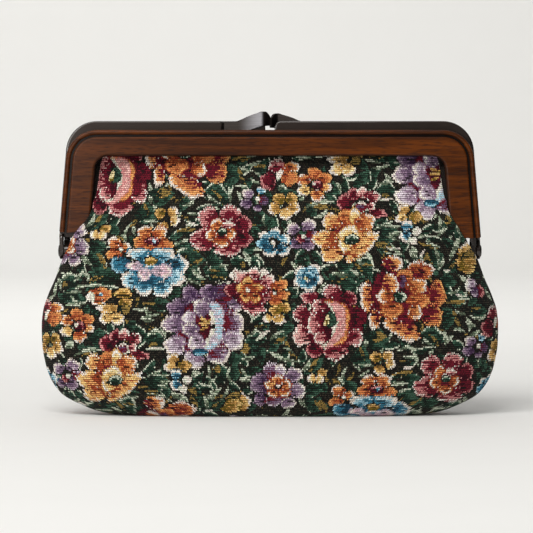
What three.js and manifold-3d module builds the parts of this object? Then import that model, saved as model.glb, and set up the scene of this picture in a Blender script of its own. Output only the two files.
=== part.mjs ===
// Frame clutch bag: a tapestry pouch clamped in a hinged steel snap frame with wooden trim.
// Millimetres, +Z up, +X along the frame, -Y towards the viewer. The bag stands on z = 0.
// The back half of the frame is the front half turned half a turn about the vertical.

import * as THREE from 'three';
import { mergeVertices } from 'three/addons/utils/BufferGeometryUtils.js';
import Module from 'manifold-3d';

const wasm = await Module();
wasm.setup();

// Frame outlines: each is an inverted U with round corners and legs that lean out

const FLARE = 0.085; // sideways lean of the legs per mm of height
const WIDTH_LEVEL = 161.5; // height at which the half widths below are measured
const RAIL_OUTLINE = { top: 179.2, halfWidth: 124.2, corner: 17 };
const TRIM_OUTLINE = { top: 173.8, halfWidth: 123.4, corner: 17 };
const TRIM_OPENING = { top: 158, halfWidth: 105.2, corner: 8 };
const FLANGE_OPENING = { top: 159.5, halfWidth: 106.7, corner: 8 };
const LEG_END = { left: 112, right: 108.5 }; // the leg with the outer hinge ear is the shorter one
const CORNER_STEPS = 8;

// Frame depths, measured forward from the mid-plane between the two halves

const GAP = 0.3; // clearance between pieces that touch
const HALF_BACK = GAP; // each half stops short of the mid-plane
const FLANGE_FRONT = 1.8;
const RAIL_FRONT = 4.0;
const TRIM_BACK = RAIL_FRONT + GAP;
const TRIM_FRONT = 13.0;
const RAIL_TALL = 8; // width of the thick outer rail, seen from the front
const RAIL_BEVEL = 0.6;

// Cross-section of the wooden trim: rounded lip, groove, then a flat band with an eased inner edge.
// inset is measured in from the named edge, forward from the mid-plane.

const TRIM_SECTION = [
  { edge: 'outer', inset: 0.0, forward: TRIM_BACK },
  { edge: 'outer', inset: 0.0, forward: 11.2 },
  { edge: 'outer', inset: 0.5, forward: 12.2 },
  { edge: 'outer', inset: 1.3, forward: 12.6 },
  { edge: 'outer', inset: 2.1, forward: 12.2 },
  { edge: 'outer', inset: 2.6, forward: 11.0 },
  { edge: 'outer', inset: 4.2, forward: 11.0 },
  { edge: 'outer', inset: 4.6, forward: 12.6 },
  { edge: 'outer', inset: 5.2, forward: TRIM_FRONT },
  { edge: 'inner', inset: 1.4, forward: TRIM_FRONT },
  { edge: 'inner', inset: 0.3, forward: 12.4 },
  { edge: 'inner', inset: 0.0, forward: 11.4 },
  { edge: 'inner', inset: 0.0, forward: TRIM_BACK },
];

// Cross-section of a steel half: a thick rail outside and a thin flange that backs the cloth

const STEEL_SECTION = [
  { edge: 'outer', inset: RAIL_BEVEL, forward: HALF_BACK },
  { edge: 'outer', inset: 0, forward: HALF_BACK + RAIL_BEVEL },
  { edge: 'outer', inset: 0, forward: RAIL_FRONT - RAIL_BEVEL },
  { edge: 'outer', inset: RAIL_BEVEL, forward: RAIL_FRONT },
  { edge: 'outer', inset: RAIL_TALL, forward: RAIL_FRONT },
  { edge: 'outer', inset: RAIL_TALL, forward: FLANGE_FRONT },
  { edge: 'inner', inset: 0, forward: FLANGE_FRONT },
  { edge: 'inner', inset: 0, forward: HALF_BACK },
];

// Notch in the rail where the clasp tongue stands

const NOTCH = { left: -28.7, right: 2.8, floor: 173.0, leftRound: 1.8, rightRound: 4, clear: 8 };
const TONGUE_FOOT = NOTCH.floor + GAP;

// Hinge: an outer ear on the left leg, an inner ear on the right leg, a rivet through each pair

const PIVOT_HEIGHT = 100;
const EAR_RADIUS = 5;
const EAR_ROOT = 8; // how far an ear runs up into its leg
const EAR_SLANT_TOP = 107.3; // above this an ear keeps to its own side of the mid-plane
const EAR_SLANT_MEETS = Math.PI / 5; // angle on the round end where the slant meets it
const OUTER_EAR = { from: -128.6, to: -126.0 };
const INNER_EAR = { from: 121.6, to: 125.6 };
const RIVET = { shaft: 1.9, head: 3.6, dome: 0.9, domeSteps: 4, tailHead: 3.0, tail: 0.8 };
const RIVET_HOLE = RIVET.shaft + GAP;
const ROUND_SIDES = 16;

// Clasp tongue: a bent strip. Rows run from its foot to its tip, the bend coming after the peak.

const TONGUE_THICK = 1.6;
const TONGUE_ROWS = [
  { x: -27.8, forward: 2.2, bottom: TONGUE_FOOT, top: 178.4 },
  { x: -22.4, forward: 2.2, bottom: TONGUE_FOOT, top: 178.6 },
  { x: -17.9, forward: 2.2, bottom: TONGUE_FOOT, top: 180.0 },
  { x: -13.3, forward: 2.2, bottom: TONGUE_FOOT, top: 182.1 },
  { x: -11.2, forward: 2.2, bottom: 173.5, top: 182.9 },
  { x: -8.2, forward: 2.2, bottom: 174.7, top: 183.9 },
  { x: -4.8, forward: 2.2, bottom: 176.1, top: 185.0 },
  { x: -3.6, forward: 1.6, bottom: 176.5, top: 185.0 },
  { x: -2.2, forward: 0.2, bottom: 176.9, top: 184.6 },
  { x: -1.2, forward: -1.0, bottom: 177.3, top: 183.4 },
];

// Pouch wall. Each row is one level of a panel, from the edge tucked behind the trim down to the
// base seam. Across a level the cloth swells from (bellyX, bellyY) at each side to depth in the
// middle. Beside the belly it turns back through (turnX, turnY) to its edge at (edgeX, edgeY).
// The first rows are tucked between trim and flange. In the next ones the turned-in edge leaves the
// frame and lies in front of the lower ends of the legs. Then come the rows that end in the side
// seam, and the last three lie flat on the ground.

const WALL = 1.6;
const TUCK = TRIM_BACK - 0.4; // forward place of the tucked cloth, just behind the trim
const SEAM = 0.15; // each panel stops this far from the mid-plane
const BELLY_POWER = 3;
const BELLY_ROUND = 0.6;
const PANEL_COLUMNS = 28;
const PANEL_COLUMN_NAMES = ['z', 'bellyX', 'bellyY', 'turnX', 'turnY', 'edgeX', 'edgeY', 'depth'];
const PANEL_ROWS = [
  [166.0, 98.0, TUCK, 104.0, TUCK, 110.0, TUCK, TUCK],
  [158.5, 98.0, TUCK, 104.0, TUCK, 110.0, TUCK, TUCK],
  [152.0, 102.2, 4.8, 103.2, TUCK, 110.0, TUCK, 7.0],
  [145.0, 104.4, 6.6, 105.4, TUCK, 110.3, TUCK, 10.5],
  [138.0, 105.0, 8.8, 106.0, TUCK, 110.6, TUCK, 13.6],
  [133.0, 105.2, 10.5, 106.2, TUCK, 110.8, TUCK, 15.7],
  [130.5, 105.1, 11.4, 105.6, 4.4, 106.2, TUCK, 16.7],
  [127.5, 105.6, 12.7, 105.5, 11.0, 105.6, 9.0, 17.9],
  [125.0, 107.0, 13.7, 106.9, 13.4, 106.7, 13.1, 18.9],
  [120.0, 110.5, 15.0, 110.4, 14.4, 110.2, 13.6, 20.8],
  [114.0, 114.3, 15.7, 114.2, 14.8, 114.0, 13.6, 22.8],
  [107.5, 118.5, 15.4, 118.4, 14.6, 118.2, 13.6, 24.6],
  [102.5, 121.8, 12.8, 121.7, 11.7, 121.6, 10.6, 25.7],
  [97.0, 124.6, 8.8, 124.6, 7.8, 124.5, 6.8, 26.8],
  [91.0, 126.9, 4.8, 126.9, 3.7, 126.9, 2.6, 28.0],
  [84.0, 129.4, 2.4, 129.4, 1.2, 129.4, SEAM, 29.1],
  [73.0, 134.0, 2.0, 134.0, 1.0, 134.0, SEAM, 30.5],
  [63.0, 137.6, 2.0, 137.6, 1.0, 137.6, SEAM, 31.3],
  [54.0, 138.6, 2.0, 138.6, 1.0, 138.6, SEAM, 31.7],
  [44.0, 137.9, 2.0, 137.9, 1.0, 137.9, SEAM, 31.7],
  [33.0, 135.4, 2.0, 135.4, 1.0, 135.4, SEAM, 31.0],
  [23.0, 131.4, 2.0, 131.4, 1.0, 131.4, SEAM, 29.6],
  [13.0, 123.8, 2.0, 123.8, 1.0, 123.8, SEAM, 27.0],
  [6.0, 111.2, 2.0, 111.2, 1.0, 111.2, SEAM, 24.0],
  [1.5, 98.0, 2.0, 98.0, 1.0, 98.0, SEAM, 20.5],
  [0.0, 87.0, 1.8, 87.0, 0.9, 87.0, SEAM, 17.0],
  [0.0, 80.0, 0.9, 80.0, 0.5, 80.0, SEAM, 8.5],
  [0.0, 71.0, SEAM, 72.0, SEAM, 73.0, SEAM, SEAM],
].map((values) => Object.fromEntries(PANEL_COLUMN_NAMES.map((name, i) => [name, values[i]])));

// Finishes

const FINISH = {
  steel: { color: 0x2b2725, roughness: 0.42, metalness: 0.9 },
  tongue: { color: 0x4a4643, roughness: 0.34, metalness: 0.95 },
  wood: { color: 0x54301c, roughness: 0.5, metalness: 0 },
  tapestry: { color: 0x4b3f36, roughness: 0.92, metalness: 0 },
};

// A closed solid from points and triangles, turned so that its faces point outwards

function solidFrom(points, triangles) {
  const volume = triangles.reduce((sum, [a, b, c]) => {
    const p = new THREE.Vector3(...points[a]);
    const q = new THREE.Vector3(...points[b]);
    const r = new THREE.Vector3(...points[c]);
    return sum + p.dot(q.cross(r));
  }, 0);
  const facing = volume > 0 ? triangles : triangles.map(([a, b, c]) => [a, c, b]);
  const geometry = new THREE.BufferGeometry();
  geometry.setAttribute('position', new THREE.Float32BufferAttribute(points.flat(), 3));
  geometry.setIndex(facing.flat());
  return geometry;
}

// A tube through closed rings of equal length, capped at both ends with the section's own triangles

function loftRings(rings, capTriangles) {
  const count = rings[0].length;
  const last = (rings.length - 1) * count;
  const triangles = [];
  for (let i = 0; i < rings.length - 1; i += 1) {
    for (let j = 0; j < count; j += 1) {
      const next = (j + 1) % count;
      const [a, b] = [i * count + j, i * count + next];
      triangles.push([a, b, b + count], [a, b + count, a + count]);
    }
  }
  for (const [a, b, c] of capTriangles) {
    triangles.push([a, c, b], [last + a, last + b, last + c]);
  }
  return solidFrom(rings.flat(), triangles);
}

// Stations along an inverted U from the left leg's end to the right leg's end, with outward normals

function framePath({ top, halfWidth, corner }) {
  const lean = Math.atan(FLARE);
  const centreZ = top - corner;
  const centreX = halfWidth - (corner + Math.sin(lean) * (centreZ - WIDTH_LEVEL)) / Math.cos(lean);
  const station = (side, angle) => {
    const [nx, nz] = [side * Math.cos(angle), Math.sin(angle)];
    return { x: side * centreX + corner * nx, z: centreZ + corner * nz, nx, nz };
  };
  const legEnd = (side, height) => {
    const start = station(side, lean);
    return { ...start, x: start.x + side * FLARE * (start.z - height), z: height };
  };
  const arc = (side) => Array.from({ length: CORNER_STEPS + 1 }, (_, i) => (
    station(side, lean + ((Math.PI / 2 - lean) * i) / CORNER_STEPS)
  ));
  return [
    legEnd(-1, LEG_END.left),
    ...arc(-1),
    ...arc(1).reverse(),
    legEnd(1, LEG_END.right),
  ];
}

// A section carried round the frame between its outer outline and its opening

function sweepFrame(section, outline, opening) {
  const outer = framePath(outline);
  const inner = framePath(opening);
  const rings = outer.map((_, i) => section.map(({ edge, inset, forward }) => {
    const at = edge === 'outer' ? outer[i] : inner[i];
    const shift = edge === 'outer' ? -inset : inset;
    return [at.x + at.nx * shift, -forward, at.z + at.nz * shift];
  }));
  const width = outline.halfWidth - opening.halfWidth;
  const flat = section.map(({ edge, inset, forward }) => (
    new THREE.Vector2(edge === 'outer' ? inset : width - inset, forward)
  ));
  const caps = THREE.ShapeUtils.triangulateShape(flat, []);
  const clockwise = THREE.ShapeUtils.isClockWise(flat);
  return loftRings(rings, clockwise ? caps.map(([a, b, c]) => [a, c, b]) : caps);
}

// Joining and cutting

function toSolid(geometry) {
  const bare = geometry.clone();
  bare.deleteAttribute('normal');
  bare.deleteAttribute('uv');
  const merged = mergeVertices(bare, 1e-4);
  return new wasm.Manifold(new wasm.Mesh({
    numProp: 3,
    vertProperties: new Float32Array(merged.attributes.position.array),
    triVerts: new Uint32Array(merged.index.array),
  }));
}

function toGeometry(solid) {
  const mesh = solid.getMesh();
  const geometry = new THREE.BufferGeometry();
  geometry.setAttribute('position', new THREE.BufferAttribute(mesh.vertProperties, 3));
  geometry.setIndex(new THREE.BufferAttribute(mesh.triVerts, 1));
  return geometry;
}

// Wooden trim of the front half

function woodTrim() {
  return sweepFrame(TRIM_SECTION, TRIM_OUTLINE, TRIM_OPENING);
}

// Hinge ear: a round-ended plate in the plane of the hinge, drilled for the rivet

function hingeEar({ from, to }, legEnd) {
  const rootTop = legEnd + EAR_ROOT;
  const leftTouch = Math.PI - Math.acos(RAIL_FRONT / EAR_RADIUS);
  const rightTouch = 2 * Math.PI + EAR_SLANT_MEETS;
  const outline = new THREE.Shape();
  outline.moveTo(-RAIL_FRONT, rootTop);
  outline.absarc(0, PIVOT_HEIGHT, EAR_RADIUS, leftTouch, rightTouch, false);
  outline.lineTo(-HALF_BACK, EAR_SLANT_TOP);
  outline.lineTo(-HALF_BACK, rootTop);
  const hole = new THREE.Path();
  hole.absarc(0, PIVOT_HEIGHT, RIVET_HOLE, 0, 2 * Math.PI, true);
  outline.holes.push(hole);
  const plate = new THREE.ExtrudeGeometry(outline, {
    depth: to - from,
    bevelEnabled: false,
    curveSegments: ROUND_SIDES,
  });
  const alongX = new THREE.Matrix4().makeBasis(
    new THREE.Vector3(0, 1, 0),
    new THREE.Vector3(0, 0, 1),
    new THREE.Vector3(1, 0, 0),
  );
  return plate.applyMatrix4(alongX).translate(from, 0, 0);
}

// Cutter for the rail notch: straight floor, and round shoulders left on the rail at both sides

function notchCutter() {
  const { left, right, floor, leftRound, rightRound, clear } = NOTCH;
  const shoulder = RAIL_OUTLINE.top;
  const outline = new THREE.Shape();
  outline.moveTo(left, floor);
  outline.lineTo(right, floor);
  outline.absarc(right + rightRound, shoulder - rightRound, rightRound, Math.PI, Math.PI / 2, true);
  outline.lineTo(right + rightRound, shoulder + clear);
  outline.lineTo(left - leftRound, shoulder + clear);
  outline.absarc(left - leftRound, shoulder - leftRound, leftRound, Math.PI / 2, 0, true);
  const block = new THREE.ExtrudeGeometry(outline, {
    depth: clear,
    bevelEnabled: false,
    curveSegments: ROUND_SIDES / 2,
  });
  return block.rotateX(Math.PI / 2);
}

// Steel frame half: swept rail and flange, notched for the tongue, with its two ears soldered on

function steelFrame() {
  const bar = toSolid(sweepFrame(STEEL_SECTION, RAIL_OUTLINE, FLANGE_OPENING));
  const outerEar = toSolid(hingeEar(OUTER_EAR, LEG_END.left));
  const innerEar = toSolid(hingeEar(INNER_EAR, LEG_END.right));
  return toGeometry(bar.subtract(toSolid(notchCutter())).add(outerEar).add(innerEar));
}

// Clasp tongue: a rectangular strip carried along the rows, square to its own bend

function claspTongue() {
  const along = TONGUE_ROWS.map(({ x, forward }) => new THREE.Vector2(x, -forward));
  const rings = TONGUE_ROWS.map(({ bottom, top }, i) => {
    const before = along[Math.max(i - 1, 0)];
    const after = along[Math.min(i + 1, along.length - 1)];
    const run = after.clone().sub(before).normalize();
    const side = new THREE.Vector2(run.y, -run.x).multiplyScalar(TONGUE_THICK / 2);
    const front = along[i].clone().add(side);
    const back = along[i].clone().sub(side);
    return [
      [front.x, front.y, bottom],
      [front.x, front.y, top],
      [back.x, back.y, top],
      [back.x, back.y, bottom],
    ];
  });
  return loftRings(rings, [[0, 1, 2], [0, 2, 3]]);
}

// Hinge rivet: domed head outside the outer ear, shaft through both ears, flat head inside

function hingeRivet() {
  const headFace = -OUTER_EAR.from + GAP;
  const tailFace = INNER_EAR.from - GAP;
  const dome = Array.from({ length: RIVET.domeSteps + 1 }, (_, i) => {
    const angle = (Math.PI / 2) * (i / RIVET.domeSteps);
    return new THREE.Vector2(RIVET.head * Math.sin(angle), headFace + RIVET.dome * Math.cos(angle));
  });
  const profile = [
    ...dome,
    new THREE.Vector2(RIVET.shaft, headFace),
    new THREE.Vector2(RIVET.shaft, tailFace),
    new THREE.Vector2(RIVET.tailHead, tailFace),
    new THREE.Vector2(RIVET.tailHead, tailFace - RIVET.tail),
    new THREE.Vector2(0, tailFace - RIVET.tail),
  ].reverse();
  const turned = new THREE.LatheGeometry(profile, ROUND_SIDES);
  return turned.rotateZ(-Math.PI / 2);
}

// One level of a panel, from its left edge to its right edge

function panelLevel({ z, bellyX, bellyY, turnX, turnY, edgeX, edgeY, depth }) {
  const belly = Array.from({ length: PANEL_COLUMNS + 1 }, (_, i) => {
    const across = Math.sin((Math.PI / 2) * ((2 * i) / PANEL_COLUMNS - 1));
    const swell = Math.max(1 - Math.abs(across) ** BELLY_POWER, 0) ** BELLY_ROUND;
    return [across * bellyX, -(bellyY + (depth - bellyY) * swell), z];
  });
  const strip = (side) => [[side * edgeX, -edgeY, z], [side * turnX, -turnY, z]];
  return [...strip(-1), ...belly, ...strip(1).reverse()];
}

// How near the mid-plane the inner side of a level may come: a folded or sewn edge is cut off flat

function rimDepth({ bellyY, edgeY }) {
  return bellyY > edgeY ? edgeY : SEAM;
}

// The cloth wall: an outer sheet through all levels, an inner sheet one wall inside it, and the rim

function clothPanel() {
  const outer = PANEL_ROWS.map((row) => panelLevel(row).map((p) => new THREE.Vector3(...p)));
  const [rows, columns] = [outer.length, outer[0].length];
  const inner = outer.map((level, i) => level.map((point, j) => {
    const down = outer[Math.min(i + 1, rows - 1)][j].clone().sub(outer[Math.max(i - 1, 0)][j]);
    const across = level[Math.min(j + 1, columns - 1)].clone().sub(level[Math.max(j - 1, 0)]);
    const inwards = across.cross(down).normalize().multiplyScalar(WALL);
    const moved = point.clone().add(inwards);
    moved.y = Math.min(moved.y, -rimDepth(PANEL_ROWS[i]));
    return moved;
  }));
  const points = [...outer.flat(), ...inner.flat()].map((p) => p.toArray());
  const skin = rows * columns;
  const triangles = [];
  const quad = (a, b, c, d) => triangles.push([a, b, c], [a, c, d]);
  for (let i = 0; i < rows - 1; i += 1) {
    for (let j = 0; j < columns - 1; j += 1) {
      const a = i * columns + j;
      const d = a + columns;
      quad(a, a + 1, d + 1, d);
      quad(skin + a, skin + d, skin + d + 1, skin + a + 1);
    }
  }
  const rim = [
    ...Array.from({ length: columns }, (_, j) => j),
    ...Array.from({ length: rows - 1 }, (_, i) => (i + 2) * columns - 1),
    ...Array.from({ length: columns - 1 }, (_, j) => skin - 2 - j),
    ...Array.from({ length: rows - 2 }, (_, i) => (rows - 2 - i) * columns),
  ];
  rim.forEach((a, k) => {
    const b = rim[(k + 1) % rim.length];
    quad(a, skin + a, skin + b, b);
  });
  return solidFrom(points, triangles);
}

// Assembly

function piece(name, geometry, finish) {
  const mesh = new THREE.Mesh(geometry, new THREE.MeshStandardMaterial(FINISH[finish]));
  mesh.name = name;
  return mesh;
}

function frameHalf(side) {
  const half = new THREE.Group();
  half.add(
    piece(`steel_frame_${side}`, steelFrame(), 'steel'),
    piece(`wood_trim_${side}`, woodTrim(), 'wood'),
    piece(`clasp_tongue_${side}`, claspTongue(), 'tongue'),
    piece(`${side}_panel`, clothPanel(), 'tapestry'),
  );
  return half;
}

function rivetAt(name, turn) {
  const rivet = piece(name, hingeRivet(), 'steel');
  rivet.position.z = PIVOT_HEIGHT;
  rivet.rotation.z = turn;
  return rivet;
}

const clutch = new THREE.Group();
const backHalf = frameHalf('back');
backHalf.rotation.z = Math.PI;
clutch.add(frameHalf('front'), backHalf);
clutch.add(rivetAt('hinge_rivet_right', 0), rivetAt('hinge_rivet_left', Math.PI));

export default clutch;
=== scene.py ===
"""Frame clutch bag: tapestry pouch, bronzed steel snap frame, wooden trim, sprung clasp and a plain stage.

Sizes in this file are in millimetres and meshes are written in metres. +Z is up and the front faces -Y.
The back half of the frame and pouch is the front half turned half a turn about the vertical.
"""

import math

import bpy
import numpy as np
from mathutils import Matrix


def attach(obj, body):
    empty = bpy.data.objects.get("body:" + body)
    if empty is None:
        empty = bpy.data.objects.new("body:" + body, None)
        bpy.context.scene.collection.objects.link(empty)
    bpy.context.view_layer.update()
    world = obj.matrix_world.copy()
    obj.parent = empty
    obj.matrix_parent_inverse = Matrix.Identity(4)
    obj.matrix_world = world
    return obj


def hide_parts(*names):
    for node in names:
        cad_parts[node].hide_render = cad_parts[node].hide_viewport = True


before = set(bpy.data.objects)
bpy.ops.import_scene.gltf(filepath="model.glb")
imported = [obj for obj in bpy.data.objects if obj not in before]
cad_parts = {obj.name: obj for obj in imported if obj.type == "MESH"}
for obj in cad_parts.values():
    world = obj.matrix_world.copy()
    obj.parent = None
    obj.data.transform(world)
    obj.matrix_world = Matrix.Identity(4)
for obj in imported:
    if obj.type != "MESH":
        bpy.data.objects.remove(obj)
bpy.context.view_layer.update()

bl_info = {
    "name": "Frame Clutch Bag",
    "version": (1, 0, 0),
    "blender": (4, 5, 0),
    "location": "View3D > Sidebar > Clutch",
    "description": "Builds the looks of a tapestry clutch bag with a wood-trimmed snap frame",
    "category": "Add Mesh",
}

MM = 0.001

# Colour sockets of a Mix node, by number, because its other sockets have the same names

MIX_A = 6
MIX_B = 7
MIX_RESULT = 2

# Frame outlines: inverted U shapes with round corners and legs that lean out

FLARE = 0.085  # sideways lean of the legs for each mm of height
WIDTH_LEVEL = 161.5  # height at which the half widths are measured
RAIL_OUTLINE = {"top": 179.2, "half_width": 124.2, "corner": 19.0}
TRIM_OUTLINE = {"top": 173.8, "half_width": 123.4, "corner": 19.0}
TRIM_OPENING = {"top": 158.0, "half_width": 105.2, "corner": 8.0}
FLANGE_OPENING = {"top": 159.5, "half_width": 106.7, "corner": 8.0}
LEG_END_LEFT = 112.0
LEG_END_RIGHT = 108.5
CORNER_STEPS = 20

# Depths, measured forward from the plane between the two halves

HALF_BACK = 0.3
FLANGE_FRONT = 1.8
RAIL_FRONT = 4.0
RAIL_TALL = 8.0
TRIM_BACK = 4.3
TRIM_FRONT = 13.0
EDGE_SUPPORT = 0.2  # narrow flat beside a rounded edge, which keeps the wide face's shading even

# Trim moulding, from the outer edge inwards: a bead, a groove and a flat band. Pairs are inset and depth.

BEAD_HALF_WIDTH = 1.4
BEAD_BASE = 11.1
BEAD_RISE = 1.5
GROOVE_FLOOR = 10.6
GROOVE = ((2.9, GROOVE_FLOOR), (4.1, GROOVE_FLOOR), (4.2, 11.2))
BAND_EDGE_START = (4.25, 12.2)
BAND_EDGE_END = (5.05, TRIM_FRONT)
INNER_ROUND = 1.5
INNER_PAINTED_SHADE = 0.9  # how dark the painted shade is along the inner edge
BEAD_STEPS = 11
INNER_ROUND_STEPS = 8
TRIM_TOP_X = np.linspace(-95, 95, 5)  # stations along the straight top

# Rail notch for the clasp tongue

NOTCH_LEFT = -28.7
NOTCH_RIGHT = 2.8
NOTCH_FLOOR = 173.0
NOTCH_LEFT_ROUND = 1.8
NOTCH_RIGHT_ROUND = 4.0
NOTCH_FOOT_ROUND = 0.6

# Hinge

PIVOT_HEIGHT = 100.0
EAR_RADIUS = 5.0
EAR_ROOT = 8.0
EAR_SLANT_TOP = 107.3
EAR_SLANT_MEETS = math.pi / 5
EAR_HOLE = 2.2
EAR_EASE = 0.35
OUTER_EAR = (-128.3, -125.75)
INNER_EAR = (121.9, 125.65)
RIVET_SHAFT = 1.9
RIVET_HEAD = 3.6
RIVET_DOME = 0.7
RIVET_DOME_START = 0.02  # angle of the dome's first ring from its top
RIVET_DOME_STEPS = 10
RIVET_TAIL_HEAD = 3.0
RIVET_TAIL = 0.8
RIVET_EASE = 0.2
RIVET_GAP = 0.3
ROUND_SIDES = 48

# Clasp tongue, from its foot to its bent tip: (along X, forward, bottom, top)

TONGUE_THICK = 1.6
TONGUE_EASE = 0.3
TONGUE_RINGS = 72
BACK_TONGUE_DROP = 1.3  # how much lower the back tongue's tip has sprung
TONGUE_ROWS = np.array([
    (-27.8, 2.2, 173.3, 178.4),
    (-22.4, 2.2, 173.3, 178.6),
    (-17.9, 2.2, 173.3, 180.0),
    (-13.3, 2.2, 173.3, 182.1),
    (-11.2, 2.2, 173.9, 182.9),
    (-8.2, 2.2, 175.0, 183.9),
    (-4.8, 2.2, 176.0, 185.0),
    (-3.6, 1.6, 176.1, 185.0),
    (-2.2, 0.2, 176.2, 184.6),
    (-1.2, -1.0, 176.3, 183.4),
    (-0.4, -1.9, 176.4, 182.4),
])

# Pouch wall: one row for each level, from the edge tucked behind the trim down to the base seam.
# Columns: height, belly half width, belly side depth, turn x, turn depth, edge x, edge depth, mid depth.

TUCK = 3.9
SEAM = 0.15
BELLY_POWER = 3
BELLY_ROUND = 0.6
PANEL_ROWS = np.array([
    (166.0, 101.0, TUCK, 104.0, TUCK, 110.0, TUCK, TUCK),
    (158.5, 101.5, TUCK, 104.0, TUCK, 110.0, TUCK, TUCK),
    (152.0, 103.2, 4.6, 103.8, TUCK, 110.0, TUCK, 7.0),
    (145.0, 104.1, 6.4, 104.6, TUCK, 110.3, TUCK, 10.5),
    (138.0, 105.0, 8.6, 105.4, TUCK, 110.6, TUCK, 13.6),
    (133.0, 106.0, 10.4, 106.3, TUCK, 110.8, TUCK, 15.7),
    (130.5, 107.2, 11.4, 107.5, 4.4, 109.0, TUCK, 16.7),
    (127.5, 107.5, 12.7, 107.6, 11.0, 107.6, 9.0, 17.9),
    (125.0, 108.2, 13.8, 108.1, 13.5, 107.9, 13.2, 18.9),
    (120.0, 110.9, 15.0, 110.8, 14.4, 110.6, 13.6, 20.8),
    (114.0, 115.4, 15.7, 115.3, 14.8, 115.1, 13.6, 22.8),
    (107.5, 119.5, 15.4, 119.4, 14.6, 119.2, 13.6, 24.6),
    (102.5, 122.2, 12.8, 122.1, 11.7, 122.0, 10.6, 25.7),
    (97.0, 125.5, 8.8, 125.5, 7.8, 125.4, 6.8, 26.8),
    (91.0, 128.1, 4.8, 128.1, 3.7, 128.1, 2.6, 28.0),
    (84.0, 130.7, 2.4, 130.7, 1.2, 130.7, SEAM, 29.1),
    (73.0, 135.5, 2.0, 135.5, 1.0, 135.5, SEAM, 30.5),
    (63.0, 138.6, 2.0, 138.6, 1.0, 138.6, SEAM, 31.3),
    (54.0, 139.4, 2.0, 139.4, 1.0, 139.4, SEAM, 31.7),
    (44.0, 139.2, 2.0, 139.2, 1.0, 139.2, SEAM, 31.7),
    (33.0, 137.5, 2.0, 137.5, 1.0, 137.5, SEAM, 31.0),
    (23.0, 134.4, 2.0, 134.4, 1.0, 134.4, SEAM, 29.6),
    (13.0, 127.5, 2.0, 127.5, 1.0, 127.5, SEAM, 27.0),
    (6.0, 115.2, 2.0, 115.2, 1.0, 115.2, SEAM, 24.0),
    (1.5, 102.2, 2.0, 102.2, 1.0, 102.2, SEAM, 20.5),
    (0.0, 90.5, 1.8, 90.5, 0.9, 90.5, SEAM, 17.0),
    (0.0, 82.0, 0.9, 82.0, 0.5, 82.0, SEAM, 8.5),
    (0.0, 73.0, SEAM, 74.0, SEAM, 75.0, SEAM, SEAM),
])
HINGE_SHIFT = 1.1  # how far left the cloth lies beside the hinges
HINGE_SHIFT_LEVEL = 110.0
HINGE_SHIFT_SPREAD = 7.0

# Soft waves of the hanging cloth: two crossing sines, each with its mm for a radian across and down

WAVE_FIRST = (23, 31)
WAVE_SECOND = (41, 57)
WAVE_PHASE = 1.1
WAVE_LOW = 4  # height above the base where the waves start to grow
WAVE_LOW_SPAN = 25
WAVE_HIGH = 156  # height below the frame's top where they have faded out
WAVE_HIGH_SPAN = 14
WAVE_SEAM_SPAN = 0.25  # share of the half width over which they fade towards a side seam

# Weave: stitches of the outer face, its plainer inner face and the ribs. Ribs and threads are drawn a
# little coarser than real ones, so that they show in the render.

STITCHES_ACROSS = 456
STITCHES_DOWN = 208
STRIP_STITCHES = 4  # stitches in the turned edge at each side
LINING_STRIDE = 8  # stitches of the outer face for each quad of the inner face
WRONG_SIDE = "#292421"  # the plain inner face of the cloth
RIB_PITCH = 1.27  # from one weft rib to the next
WARP_PITCH = 1.28  # from one warp thread to the next

# Tapestry chart. One step is 0.6 mm, about half a warp thread. Places are seen from the front, in steps
# from the middle of the pouch, x to the right and y down. The pattern repeats along two slanting ways, a
# little nearer together at the top, where the frame gathers the cloth.

CHART_STEP = 0.6
CHART_MIDDLE = 91.0
REPEATS = (
    (0, 0),
    (224, 149),
    (-240, 142),
    (-217, -144),
    (233, -149),
    (-16, 291),
    (16, -293),
    (457, 0),
    (-457, 0),
)
BACK_SHIFT = (52, 110)  # how far the back panel is cut from the front one's place in the pattern
BLOOM_REACH = 55  # no petal reaches further from its bloom's place
LEAF_MARGIN = 4
RIMMED_SIZE = 2.5  # shapes with a smaller half size have no rim and no dark line
SLIM_LEAF = 4  # leaves with a smaller half width are broken up by single ground stitches
SIDE_TURN = 0.86  # share of the half width where the chart goes over to the length along the cloth
SIDE_TURN_SPAN = 0.12
BASE_TURN = 25  # height where it does so above the base
BASE_TURN_SPAN = 20

# Sprigs fill the ground between the charted leaves: one in each square of a grid, with its half length,
# half width and shading. The last kind is rarer than the others.

SPRIG_SPACING = 14.5
SPRIG_COLUMNS = (-18, 18)
SPRIG_ROWS = (-10, 14)
SPRIG_MARGIN = 2
SPRIG_KINDS = (
    (9, 4.5, "green"),
    (8, 2.3, "sage"),
    (9, 4.5, "outline"),
    (7, 1.7, "thread"),
)
SPRIG_SHARE = 3.6  # a random value from 0 to 1 times this, cut to a whole number, picks the kind

# Yarn colours. The bare ground is black, with flecks of two other dark yarns above these random values.

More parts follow.
